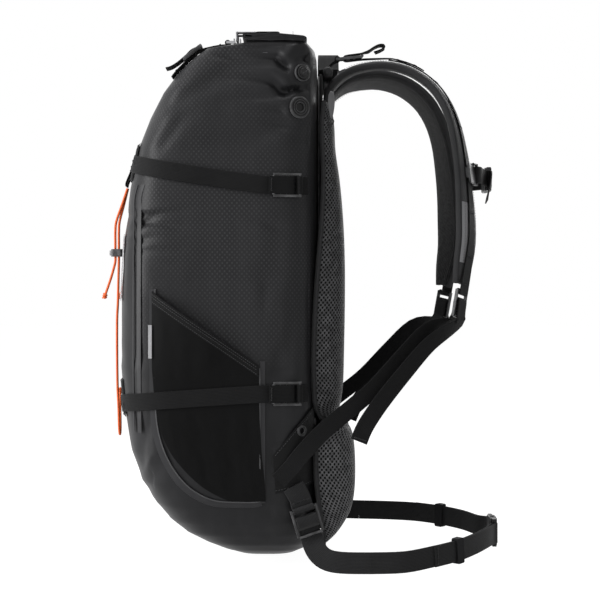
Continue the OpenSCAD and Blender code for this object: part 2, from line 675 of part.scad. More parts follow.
// A pad's plan at one height: front x, outer y and the x of its rear border
function pad_ring(front, outer, border, z) =
    let (b = pad_back_x, i = channel_half, t = front - b, y1 = min(outer - 5, panel_half + 1))
    [for (p = [[b, i + 1], [b, (i + y1) / 2], [b, y1], [(b + border) / 2 - 0.6, (y1 + outer) / 2 + 1],
               [border, outer], [border + 3.5, outer + 3],
               [b + t * 0.3, outer + 3], [b + t * 0.72, outer - 5], [b + t * 0.93, outer - 17],
               [front, outer - 34], [front + 0.8, (i + outer) / 2], [front, i + 20],
               [b + t * 0.86, i + 8], [b + t * 0.45, i + 1.5]])
        [p[0], -p[1], z]];
module pad(rows) {
    rings = [for (r = rows) pad_ring(r[1], r[2], r[3], r[0])];
    n = len(rings);
    m = len(rings[0]);
    points = [for (r = rings) each r];
    walls = [
        for (i = [0 : n - 2]) for (j = [0 : m - 1])
            let (a = i * m + j, b = i * m + (j + 1) % m)
            each [[a, b, b + m], [a, b + m, a + m]]
    ];
    // each end is closed on the middle of its ring
    function middle(r) = [for (c = [0 : 2]) [for (p = r) p[c]] * [for (p = r) 1] / m];
    ends = [
        for (j = [0 : m - 1])
            each [[n * m, (j + 1) % m, j],
                  [n * m + 1, (n - 1) * m + j, (n - 1) * m + (j + 1) % m]]
    ];
    polyhedron(concat(points, [middle(rings[0]), middle(rings[n - 1])]),
               flipped(concat(walls, ends)), convexity = 10);
}
// Height, front x, outer y and border x, from the foot up
UPPER_PAD = [
    [-442, 2, 112, -11], [-436, 9, 122, -15], [-424, 13, 130, -20], [-400, 16, 134, -22],
    [-360, 17, 135, -22], [-310, 18, 134, -20], [-255, 18, 132, -16], [-205, 16, 129, -12],
    [-160, 12, 126, -10.5], [-125, 7, 122, -11.5], [-98, 6, 116, -12], [-80, 4, 110, -10.5],
    [-70, 0, 107, -9.8]
];
LUMBAR_PAD = [
    [-588, -2, 107, -9.5], [-580, 8, 111, -10], [-566, 18, 118, -11], [-548, 26, 128, -14],
    [-522, 30, 134, -18], [-485, 30, 136, -20], [-460, 27, 134, -19], [-450, 21, 128, -15],
    [-446, 12, 120, -11]
];
module upper_pads() {
    color([0.1, 0.1, 0.1]) for (side = [RIGHT, LEFT]) sided(side) pad(UPPER_PAD);
}
module lumbar_pads() {
    color([0.1, 0.1, 0.1]) for (side = [RIGHT, LEFT]) sided(side) pad(LUMBAR_PAD);
}

yoke_top = -24;
yoke_radius = 6;
yoke_x = pad_back_x + yoke_radius;
yoke_z = yoke_top - yoke_radius;
lifter_y = 58;
lifter_frame = [[10, -lifter_y, -12], [1, 0, 0.1], [-0.1, -0.1, 1]];
module yoke() {
    tab = yoke_radius + 0.3 + web_thick / 2;
    low = frame_row(lifter_frame, [0, 0, -eye_radius + eye_wall / 2]);
    color([0.09, 0.09, 0.09]) {
        translate([yoke_x, 0, yoke_z]) rotate([90, 0, 0])
            cylinder(r = yoke_radius, h = 172, center = true, $fn = 48);
        for (side = [RIGHT, LEFT]) sided(side) {
            webbing([
                [yoke_x - tab * 0.7, -lifter_y, yoke_z + tab * 0.714, 0, 1, 0],
                [yoke_x, -lifter_y, yoke_z + tab, 0, 1, 0],
                [low[0] - 5, -lifter_y, low[2] - 1.5, 0, 1, 0],
                low], narrow_web);
            placed(lifter_frame) web_eye(narrow_web);
        }
    }
}

haul_x = 0;
module haul_loop() {
    foot = yoke_top + 1;
    color([0.06, 0.06, 0.06]) webbing([
        [haul_x, -46, foot, 1, 0, 0], [haul_x, -36, foot + 2.2, 1, 0, 0],
        [haul_x, -27, foot + 11, 1, 0, 0], [haul_x, -16, web_thick / 2 - 1.2, 1, 0, 0],
        [haul_x, 0, web_thick / 2, 1, 0, 0], [haul_x, 16, web_thick / 2 - 1.2, 1, 0, 0],
        [haul_x, 27, foot + 11, 1, 0, 0], [haul_x, 36, foot + 2.2, 1, 0, 0],
        [haul_x, 46, foot, 1, 0, 0]], belt_web, 3);
}

/* Shoulder straps: [x, y, z, width, roll] along the middle of the pad */
STRAP = [
    [-3.4, -50, -62, 50, 0], [3.4, -50, -44, 56, 2], [22, -51, -28, 60, 5], [45, -53, -20.5, 62, 8],
    [72, -56, -19.5, 63, 9], [100, -60, -28, 64, 10], [124, -65, -46, 64, 11],
    [140, -70, -70, 64, 12], [150, -75, -98, 63, 14], [156, -79, -130, 62, 17],
    [160, -82, -165, 60, 20], [162, -85, -200, 57, 24], [162, -88, -232, 50, 28],
    [158, -91, -260, 40, 32], [154, -93, -284, 26, 34]
];
strap_path = smooth(STRAP, 3);
strap_line = first3(strap_path);
// The outer edge of the right strap drops away from the neck as it rolls.
strap_across = [
    for (i = [0 : len(strap_line) - 1])
        let (t = along(strap_line, i), y = unit([0, 1, 0] - t[1] * t), n = cross(t, y))
        y * cos(strap_path[i][4]) + n * sin(strap_path[i][4])
];
function strap_out(i) = unit(cross(along(strap_line, i), strap_across[i]));
function taper(i, n) = let (e = min(i, n - 1 - i)) e == 0 ? 0.7 : e == 1 ? 0.92 : 1;
module shoulder_pad() {
    n = len(strap_line);
    color([0.1, 0.1, 0.1]) sweep(strap_line, strap_across, [
        for (i = [0 : n - 1])
            oval(strap_path[i][3] / 64 * pad_width, pad_thick * taper(i, n), 3.4, 14)]);
}

/* A rail of webbing runs down the face of each shoulder pad and ends in its lock's eye */
rail_first = 12;
rail_last = len(strap_line) - 1;
rail_off = pad_thick / 2 + 0.3 + web_thick / 2;
rail_reach = 9; // how far the lock's bar hangs below the pad's end
function rail_row(i) =
    let (p = strap_line[i] + rail_off * strap_out(i), a = strap_across[i])
    [p[0], p[1], p[2], a[0], a[1], a[2]];
shoulder_run = along(strap_line, rail_last);
shoulder_out = strap_out(rail_last);
rail_end = strap_line[rail_last] + rail_off * shoulder_out + (rail_reach - 0.5) * shoulder_run;
shoulder_frame = [rail_end + 0.5 * shoulder_run - (eye_radius - eye_wall / 2) * shoulder_out,
                  shoulder_run, shoulder_out];
module strap_rails() {
    a = strap_across[rail_last];
    color([0.08, 0.08, 0.08]) for (side = [RIGHT, LEFT]) sided(side) {
        webbing(concat([for (i = [rail_first : rail_last]) rail_row(i)],
                       [[rail_end[0], rail_end[1], rail_end[2], a[0], a[1], a[2]]]), narrow_web, 1);
        placed(shoulder_frame) web_eye(narrow_web);
    }
}
module shoulder_lock() {
    placed(shoulder_frame) ladder_lock(narrow_web);
}
wing_thick = 2;
wing_off = gap + wing_thick + 0.8 + web_thick / 2;
function wing_row(x, z, extra) =
    let (p = on_bag(x, z, wing_off + extra)) [p[0], p[1], p[2], 0.7, 0, -0.7];
SHOULDER_WEB = [
    wing_row(-60, -509, 0.6), wing_row(-47, -494, 2),
    [-32, -158, -477, 0.7, 0, -0.7],
    [-8, -153, -452, 0.7, 0.05, -0.7], [22, -144, -428, 0.7, 0.1, -0.7],
    [52, -134, -403, 0.7, 0.2, -0.65], [84, -121, -368, 0.7, 0.35, -0.6],
    [114, -109, -338, 0.65, 0.5, -0.5]
];
SHOULDER_TAIL = [
    frame_row(shoulder_frame, [39, 0, 1.5]),
    [118, -120, -352, 0.7, 0.5, -0.5], [88, -134, -384, 0.7, 0.3, -0.65],
    [58, -146, -420, 0.8, 0.2, -0.55], [40, -152, -446, 0.9, 0.1, -0.4], [32, -154, -464, 0.95, 0.1, -0.3]
];
module shoulder_webbing() {
    color([0.07, 0.07, 0.07])
        webbing(concat(
            SHOULDER_WEB,
            [frame_row(shoulder_frame, [38, 0, -10]), frame_row(shoulder_frame, [31, 0, -4.6])],
            wrap(shoulder_frame, 26, 31), SHOULDER_TAIL), narrow_web, 2);
}

/* Load lifter: its webbing is sewn over the rail's upper end */
LIFTER_TAIL = [
    [47, -60, -3.2, 0, 1, 0], [54, -61, 1.2, 0, 1, 0], [60, -62, 3.8, 0, 1, 0],
    [65, -62, 3.8, 0, 1, 0], [66.5, -62, 0.8, 0, 1, 0], [61, -61, -2.4, 0, 1, 0],
    [55, -60, -4.4, 0, 1, 0]
];
function over_rail(i) =
    let (p = strap_line[i] + (rail_off + web_thick + 0.3) * strap_out(i), a = strap_across[i])
    [p[0], p[1], p[2], a[0], a[1], a[2]];
module load_lifter() {
    color([0.08, 0.08, 0.08])
        webbing(concat([for (i = [4 : -1 : 0]) over_rail(rail_first + i)],
                       wrap(lifter_frame, 33, 31), LIFTER_TAIL), narrow_web, 2);
}
module lifter_lock() {
    placed(lifter_frame) ladder_lock(narrow_web);
}

/* Base wings: fabric gussets that hold the shoulder webbing and the hip belt */
module base_wings() {
    color([0.09, 0.09, 0.09]) for (side = [RIGHT, LEFT]) sided(side) difference() {
        patch([for (k = [0 : 0.5 : 5]) let (x = -66 + 9 * k)
            [angle_at_x(x, -480), -524 + 2 * k, -480 + 11 * k]], gap, wing_thick, 8);
        translate([-34, -100, -452]) rotate([90, 0, 0]) cylinder(r = 4.5, h = 200, $fn = 24);
    }
}

/* Side-release buckles. x runs from the halves' parting to the socket's webbing bar. */
buckle_frame = 4.5; // how far a buckle reaches past its webbing on each side
buckle_bar = 2; // radius of each half's webbing bar
socket_body = 24;
socket_bar = 28.5;
tongue_body = 9;
tongue_bar = 14;
socket_room = 0.5; // room round the tongue's prongs
prong = 4;
module buckle_cheeks(web, from, bar) {
    wide = web + 2 * buckle_frame;
    for (s = [-1, 1])
        translate([(from + bar) / 2, s * (wide / 2 - 2), 0])
            cube([abs(bar - from) + 2 * buckle_bar, 4, 5], center = true);
    translate([bar, 0, 0]) rotate([90, 0, 0])
        cylinder(r = buckle_bar, h = wide - 4, center = true, $fn = 32);
}
module buckle_socket(web) {
    wide = web + 2 * buckle_frame;
    color([0.06, 0.06, 0.06]) {
        difference() {
            translate([socket_body / 2, 0, 0]) rounded_block(socket_body, wide, 9, 4);
            translate([8, 0, 0]) cube([20, wide - 8, prong + 2 * socket_room], center = true);
            for (s = [-1, 1])
                translate([9, s * wide / 2, 0]) cube([9, 8, prong + 2 * socket_room], center = true);
        }
        buckle_cheeks(web, socket_body, socket_bar);
    }
}
module buckle_tongue(web) {
    wide = web + 2 * buckle_frame;
    reach = 14;
    color([0.09, 0.09, 0.09]) {
        translate([-tongue_body / 2 - 0.3, 0, 0]) rounded_block(tongue_body, wide, 8, 3);
        buckle_cheeks(web, -tongue_body, -tongue_bar);
        for (s = [-1, 1])
            translate([reach / 2 - 0.5, s * (wide / 2 - 4 - socket_room - prong / 2 - 0.5), 0])
                cube([reach, prong, prong], center = true);
        translate([6, 0, 0]) cube([14, 3, prong], center = true);
    }
}
// The sewn eye round a buckle's bar, for webbing that comes from place along run.
bar_eye = buckle_bar + bar_clearance + web_thick;
module buckle_eye(place, web) {
    translate(place) difference() {
        cylinder(r = bar_eye, h = web, center = true, $fn = 32);
        cylinder(r = buckle_bar + bar_clearance, h = web + 2, center = true, $fn = 32);
    }
}
bar_off = bar_eye - web_thick / 2;

/* Hip belt */
belt_frame = [[-31, -153, -541], [0.3, 0.05, -1], [0.2, -1, 0.05]];
buckle_x = 206;
buckle_z = -591;
belt_buckle = [[buckle_x, 0, buckle_z], [0, 1, 0], [1, 0, 0]];
module belt_lock() {
    placed(belt_frame) ladder_lock(belt_web);
}
// the webbing swings down on the right and up on the left, as it hangs
function belt_dip(side) = side == RIGHT ? -8 : 8;
function buckle_end(side) = side == RIGHT ? tongue_bar : socket_bar;
function belt_curve(side) =
    let (d = belt_dip(side), e = buckle_end(side))
    [[45, -152, buckle_z - 4 + d, 0, 0, 1], [85, -145, buckle_z - 4 + d, 0, 0, 1],
     [120, -129, buckle_z - 2 + d * 0.8, 0, 0, 1], [150, -104, buckle_z - 1 + d * 0.6, 0, 0, 1],
     [175, -74, buckle_z + d * 0.3, 0, 0, 1], [191, -48, buckle_z, 0, 0, 1],
     [buckle_x - 6.5, -e - 10, buckle_z, 0, 0, 1], [buckle_x - bar_off - 0.3, -e - 4, buckle_z, 0, 0, 1],
     [buckle_x - bar_off, -e, buckle_z, 0, 0, 1]];
function beside(rows, i, d) =
    let (a = [rows[i][3], rows[i][4], rows[i][5]],
         p = first3(rows)[i] + d * unit(cross(along(first3(rows), i), a)))
    [p[0], p[1], p[2], a[0], a[1], a[2]];
tail_off = web_thick + 0.6; // the belt's free tail lies this far outside its run
keeper_i = 3; // the point of the belt's curve that the keeper sits on
module belt_webbing(side) {
    curve = belt_curve(side);
    d = belt_dip(side);
    e = buckle_end(side);
    color([0.07, 0.07, 0.07]) {
        webbing(concat(
            [for (p = [[wrap_x + 6, 0, 3.5], [wrap_x, 0, 3.4], [8.8, 0, 2.6], [7.6, 0, 0.6], [8, 0, -1.6],
                       [wrap_x - 2, 0, -3.1], [grip_x - 2, 0, -3.1], [lock_length - 1, 0, -3.1]])
                frame_row(belt_frame, p)],
            [[-17, -152, buckle_z + 8 + d / 2, 0.8, 0, 0.6], [-6, -153, buckle_z + 1 + d, 0.5, 0, 0.86],
             [12, -154, buckle_z - 3 + d, 0.2, 0, 1]],
            curve), belt_web, 2);
        // the tail comes back from the buckle's bar and through the keeper
        webbing([
            [buckle_x + bar_off, -e, buckle_z, 0, 0, 1], [buckle_x + bar_off - 0.6, -e - 4, buckle_z, 0, 0, 1],
            [buckle_x - 2.5, -e - 11, buckle_z, 0, 0, 1],
            beside(curve, 5, tail_off + 0.3), beside(curve, 4, tail_off),
            beside(curve, 3, tail_off), beside(curve, 2, tail_off)], belt_web);
        buckle_eye([buckle_x, -e, buckle_z], belt_web);
        // the fixed end is sewn to the base wing
        placed(belt_frame) web_eye(belt_web);
        low = frame_row(belt_frame, [0, 0, -eye_radius + eye_wall / 2]);
        sewn = on_bag(-44, -515, wing_off + 0.3);
        webbing([[sewn[0], sewn[1], sewn[2], 0.9, 0, 0.45], frame_row(belt_frame, [-14, 0, -3.4]),
                 frame_row(belt_frame, [-6, 0, -3]), low], belt_web);
    }
}
module belt_keeper(side) {
    curve = belt_curve(side);
    run = along(first3(curve), keeper_i);
    at = first3(curve)[keeper_i] + tail_off / 2 * unit(cross(run, [0, 0, 1]));
    color([0.05, 0.05, 0.05]) placed([at, run, cross(run, [0, 0, 1])]) difference() {
        rounded_block(12, belt_web + 5, 2 * web_thick + 5.6, 2);
        cube([14, belt_web + 1.4, 2 * web_thick + 2.6], center = true);
    }
}
module belt_socket() {
    placed(belt_buckle) buckle_socket(belt_web);
}
module belt_tongue() {
    placed(belt_buckle) buckle_tongue(belt_web);
}

/* Sternum strap: its sliders straddle the rails on the shoulder pads */
slider_i = 29;
slider_plate = 2.4;
slider_lip = 1.6;
slider_room = 2; // room over the rail, which curves a little
slider_side_room = 1.4; // room beside the rail, which leans inwards
slider_rise = rail_off + web_thick / 2 + slider_room + slider_plate / 2;
slider_frame = [strap_line[slider_i] + slider_rise * strap_out(slider_i),
                along(strap_line, slider_i), strap_out(slider_i)];
slider_arm = 17.5; // from the rail's middle to the slider's webbing bar
slider_bar = frame_point(slider_frame, [0, slider_arm, 1.8]);
sternum_z = slider_bar[2];
sternum_x = 199;
sternum_buckle = [[sternum_x, 0, sternum_z], [0, 1, 0], [1, 0, 0]];
module sternum_sliders() {
    lip_y = narrow_web / 2 + slider_side_room + slider_lip / 2;
    lip_deep = 2.9;
    color([0.07, 0.07, 0.07]) for (side = [RIGHT, LEFT]) sided(side) placed(slider_frame) {
        rounded_block(24, 2 * lip_y + slider_lip, slider_plate, 2);
        for (s = [-1, 1])
            translate([0, s * lip_y, -slider_plate / 2 - lip_deep / 2 + 0.1])
                cube([12, slider_lip, lip_deep + 0.2], center = true);
    }
    // the bars stand upright, so that the strap between them lies level
    color([0.07, 0.07, 0.07]) for (side = [RIGHT, LEFT]) sided(side) {
        translate(slider_bar) cylinder(r = buckle_bar, h = narrow_web + 6, center = true, $fn = 32);
        for (s = [-1, 1])
            translate([0, 0, s * (narrow_web / 2 + 2)])
                rod(frame_point(slider_frame, [0, 7, 0.2]), slider_bar, 1.5);
    }
}
module sternum_webbing(side) {
    e = buckle_end(side);
    a = slider_bar;
    color([0.1, 0.1, 0.1]) {
        webbing([
            [a[0] + bar_off * 0.6, a[1] - bar_off * 0.8, sternum_z, 0, 0, 1],
            [a[0] + bar_off + 3, a[1] + 4, sternum_z, 0, 0, 1],
            [187, -47, sternum_z, 0, 0, 1],
            [sternum_x - bar_off - 1, -e - 6, sternum_z, 0, 0, 1],
            [sternum_x - bar_off, -e, sternum_z, 0, 0, 1]], narrow_web);
        buckle_eye([sternum_x, -e, sternum_z], narrow_web);
        buckle_eye([a[0], a[1], sternum_z], narrow_web);
        // the right half is adjustable, and its free tail hangs from the tongue
        if (side == RIGHT) webbing([
            [sternum_x + bar_off, -e, sternum_z, 0, 0, 1],
            [sternum_x + bar_off - 0.6, -e - 6, sternum_z - 0.5, 0, -0.1, 1],
            [sternum_x + 1, -e - 15, sternum_z - 5, 0, -0.5, 0.8],
            [sternum_x - 3, -e - 22, sternum_z - 16, 0, -0.9, 0.4],
            [sternum_x - 6, -e - 25, sternum_z - 30, 0, -1, 0.15]], narrow_web);
    }
}
module sternum_socket() {
    placed(sternum_buckle) buckle_socket(narrow_web);
}
module sternum_tongue() {
    placed(sternum_buckle) buckle_tongue(narrow_web);
}

bag_shell();
roll_fabric();
roll_slat();
roll_loops();
closure_hooks();
closure_straps();
front_anchors();
reflective_strip();
sided(RIGHT) tool_cord();  // tool_cord_right
sided(LEFT) tool_cord();  // tool_cord_left
sided(RIGHT) cord_lock();  // cord_lock_right
sided(LEFT) cord_lock();  // cord_lock_left
sided(RIGHT) cord_button();  // cord_button_right
sided(LEFT) cord_button();  // cord_button_left
sided(RIGHT) side_strap(-upper_strap_drop, upper_rear_z);  // side_strap_upper_right
sided(LEFT) side_strap(-upper_strap_drop, upper_rear_z);  // side_strap_upper_left
sided(RIGHT) side_strap(-lower_strap_drop, lower_rear_z);  // side_strap_lower_right
sided(LEFT) side_strap(-lower_strap_drop, lower_rear_z);  // side_strap_lower_left
sided(RIGHT) side_lock(upper_rear_z);  // side_lock_upper_right
sided(LEFT) side_lock(upper_rear_z);  // side_lock_upper_left
sided(RIGHT) side_lock(lower_rear_z);  // side_lock_lower_right
sided(LEFT) side_lock(lower_rear_z);  // side_lock_lower_left
sided(RIGHT) side_pocket();  // side_pocket_right
sided(LEFT) side_pocket();  // side_pocket_left
pocket_tag();
frame_sheet();
frame_stays();
back_panel();
yoke();
haul_loop();
upper_pads();
lumbar_pads();
sided(RIGHT) shoulder_pad();  // shoulder_pad_right
sided(LEFT) shoulder_pad();  // shoulder_pad_left
strap_rails();
sided(RIGHT) load_lifter();  // load_lifter_right
sided(LEFT) load_lifter();  // load_lifter_left
sided(RIGHT) lifter_lock();  // lifter_lock_right
sided(LEFT) lifter_lock();  // lifter_lock_left
sided(RIGHT) shoulder_lock();  // shoulder_lock_right
sided(LEFT) shoulder_lock();  // shoulder_lock_left
sided(RIGHT) shoulder_webbing();  // shoulder_webbing_right
sided(LEFT) shoulder_webbing();  // shoulder_webbing_left
base_wings();
sided(RIGHT) belt_lock();  // belt_lock_right
sided(LEFT) belt_lock();  // belt_lock_left
sided(RIGHT) belt_webbing(RIGHT);  // belt_webbing_right
sided(LEFT) belt_webbing(LEFT);  // belt_webbing_left
sided(RIGHT) belt_keeper(RIGHT);  // belt_keeper_right
sided(LEFT) belt_keeper(LEFT);  // belt_keeper_left
belt_socket();
belt_tongue();
sternum_sliders();
sided(RIGHT) sternum_webbing(RIGHT);  // sternum_webbing_right
sided(LEFT) sternum_webbing(LEFT);  // sternum_webbing_left
sternum_socket();
sternum_tongue();
hose_port();
valve_seat();
valve_plug();
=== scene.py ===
import bpy
import math
import numpy as np
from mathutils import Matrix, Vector, noise


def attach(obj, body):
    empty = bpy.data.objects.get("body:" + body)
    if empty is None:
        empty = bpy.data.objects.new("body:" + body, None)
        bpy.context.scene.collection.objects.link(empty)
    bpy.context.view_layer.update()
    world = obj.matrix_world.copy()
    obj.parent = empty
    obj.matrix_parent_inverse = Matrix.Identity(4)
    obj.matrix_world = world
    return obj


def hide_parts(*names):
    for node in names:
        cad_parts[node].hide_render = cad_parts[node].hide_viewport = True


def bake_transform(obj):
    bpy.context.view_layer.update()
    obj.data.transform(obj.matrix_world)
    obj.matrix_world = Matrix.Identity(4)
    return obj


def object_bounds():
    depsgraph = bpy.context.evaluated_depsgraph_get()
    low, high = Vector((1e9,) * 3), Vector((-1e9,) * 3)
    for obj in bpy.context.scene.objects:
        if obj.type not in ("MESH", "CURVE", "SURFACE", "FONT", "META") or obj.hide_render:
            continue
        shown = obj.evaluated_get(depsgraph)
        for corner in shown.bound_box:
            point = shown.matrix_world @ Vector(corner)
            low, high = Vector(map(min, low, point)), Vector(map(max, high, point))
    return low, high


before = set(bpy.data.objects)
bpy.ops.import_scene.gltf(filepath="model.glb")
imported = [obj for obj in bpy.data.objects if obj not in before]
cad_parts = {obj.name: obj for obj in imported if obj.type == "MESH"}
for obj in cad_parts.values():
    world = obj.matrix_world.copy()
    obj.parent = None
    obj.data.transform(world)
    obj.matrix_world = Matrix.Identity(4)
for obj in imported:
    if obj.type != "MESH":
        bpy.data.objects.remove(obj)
cad_box = [list(v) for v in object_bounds()]
scene = bpy.context.scene
scene.view_settings.view_transform = "Standard"

# ---------------------------------------------------------------- camera
# The photograph looks along +Y from 1.75 m, level, and its middle falls on x -35, z -302.5 mm.
camera_data = bpy.data.cameras.new("camera")
camera_data.lens = 84
camera_data.sensor_width = 36
camera = bpy.data.objects.new("camera", camera_data)
camera.location = (-0.035, -1.75, -0.3025)
camera.rotation_euler = (math.radians(90), 0, 0)
scene.collection.objects.link(camera)
scene.camera = camera

# ---------------------------------------------------------------- shapes, in mm
GAP = 0.7
BACK_X = -14
BAG_H, BAG_D, BAG_W = 601, 235, 320
RIM_Z = -6
BASE_Z = RIM_Z - BAG_H
OUTLINE = np.array([
    [0.000, 0.387, 0.153, 0.44, 2.8, 2.8], [0.007, 0.443, 0.085, 0.59, 3.0, 3.2],
    [0.017, 0.515, 0.043, 0.69, 3.2, 3.6], [0.032, 0.600, 0.017, 0.76, 3.4, 4.0],
    [0.053, 0.698, 0.004, 0.82, 3.6, 4.6], [0.078, 0.766, 0.000, 0.87, 3.8, 5.0],
    [0.111, 0.834, 0.000, 0.915, 4.0, 5.5], [0.153, 0.894, 0.000, 0.95, 4.2, 6.0],
    [0.211, 0.945, 0.000, 0.975, 4.4, 6.0], [0.278, 0.979, 0.000, 0.994, 4.5, 6.0],
    [0.378, 1.000, 0.000, 1.00, 4.6, 6.0], [0.511, 1.000, 0.000, 1.00, 4.6, 6.0],
    [0.627, 0.983, 0.000, 1.00, 4.6, 6.0], [0.727, 0.953, 0.000, 0.994, 4.6, 6.0],
    [0.802, 0.915, 0.000, 0.98, 4.6, 6.0], [0.860, 0.855, 0.000, 0.962, 4.6, 6.0],
    [0.910, 0.787, 0.000, 0.944, 4.8, 6.0], [0.947, 0.711, 0.000, 0.93, 5.2, 6.5],
    [0.977, 0.630, 0.004, 0.92, 5.8, 7.0], [0.990, 0.579, 0.013, 0.913, 6.5, 7.5],
    [1.000, 0.374, 0.043, 0.90, 9.0, 9.0]])
NARROW, BELT, WEB = 20, 25, 1.5


def vec(*p):
    return np.array(p[0] if len(p) == 1 else p, dtype=float)


def unit(v):
    v = np.asarray(v, dtype=float)
    return v / max(np.linalg.norm(v), 1e-9)


def clamp(v):
    return min(1.0, max(0.0, v))


def sgn(v):
    return -1.0 if v < 0 else 1.0


def column(z, i):
    return float(np.interp((z - BASE_Z) / BAG_H, OUTLINE[:, 0], OUTLINE[:, i]))


def front_x(z):
    return BACK_X - column(z, 1) * BAG_D


def rear_x(z):
    return BACK_X - column(z, 2) * BAG_D


def half_width(z):
    return column(z, 3) * BAG_W / 2


def bag_at(angle, z, off):
    c, s = math.cos(math.radians(angle)), math.sin(math.radians(angle))
    n = column(z, 4) if c < 0 else column(z, 5)
    middle, reach, w = (front_x(z) + rear_x(z)) / 2, (rear_x(z) - front_x(z)) / 2, half_width(z)
    out = unit([sgn(c) * abs(c) ** (2 - 2 / n) / reach, sgn(s) * abs(s) ** (2 - 2 / n) / w])
    return vec(middle + reach * sgn(c) * abs(c) ** (2 / n) + off * out[0],
               -(w * sgn(s) * abs(s) ** (2 / n) + off * out[1]), z)


def angle_at_x(x, z):
    u = (2 * x - front_x(z) - rear_x(z)) / (rear_x(z) - front_x(z))
    n = column(z, 4) if u < 0 else column(z, 5)
    return math.degrees(math.acos(sgn(u) * min(abs(u), 1) ** (n / 2)))


def angle_at_y(y, z):
    return 180 - math.degrees(math.asin((abs(y) / half_width(z)) ** (column(z, 4) / 2)))


def on_bag(x, z, off):
    return bag_at(angle_at_x(x, z), z, off)


def on_front(y, z, off):
    return bag_at(angle_at_y(y, z), z, off)


def out_of_bag(x, z):
    return unit(on_bag(x, z, 1) - on_bag(x, z, 0))


def smooth(rows, k):
    p = [vec(r) for r in rows]
    out = []
    for i in range(len(p) - 1):
        a, b, c, d = p[max(i - 1, 0)], p[i], p[i + 1], p[min(i + 2, len(p) - 1)]
        for j in range(k):
            t = j / k
            out.append(0.5 * (2 * b + (c - a) * t + (2 * a - 5 * b + 4 * c - d) * t * t
                              + (3 * b - a - 3 * c + d) * t ** 3))
    return out + [p[-1]]


def wobble(x, y, z):
    """Smooth noise from -1 to 1, the same in every run."""
    return noise.noise(Vector((x, y, z)))


def along(line, i):
    return unit(line[min(i + 1, len(line) - 1)] - line[max(i - 1, 0)])


def around(axis, toward):
    """An axis and two directions square to it, the first as near to toward as it can be."""
    axis = unit(axis)
    u = unit(vec(toward) - np.dot(vec(toward), axis) * axis)
    return axis, u, np.cross(axis, u)


class Frame:
    """A place with its x and z directions, for a small part on the pack."""

    def __init__(self, place, x, z):
        self.o = vec(place)
        self.x = unit(x)
        self.z = unit(vec(z) - np.dot(vec(z), self.x) * self.x)
        self.y = np.cross(self.z, self.x)

    def at(self, p):
        return self.o + p[0] * self.x + p[1] * self.y + p[2] * self.z

    def row(self, p):
        return np.concatenate([self.at(p), self.y])


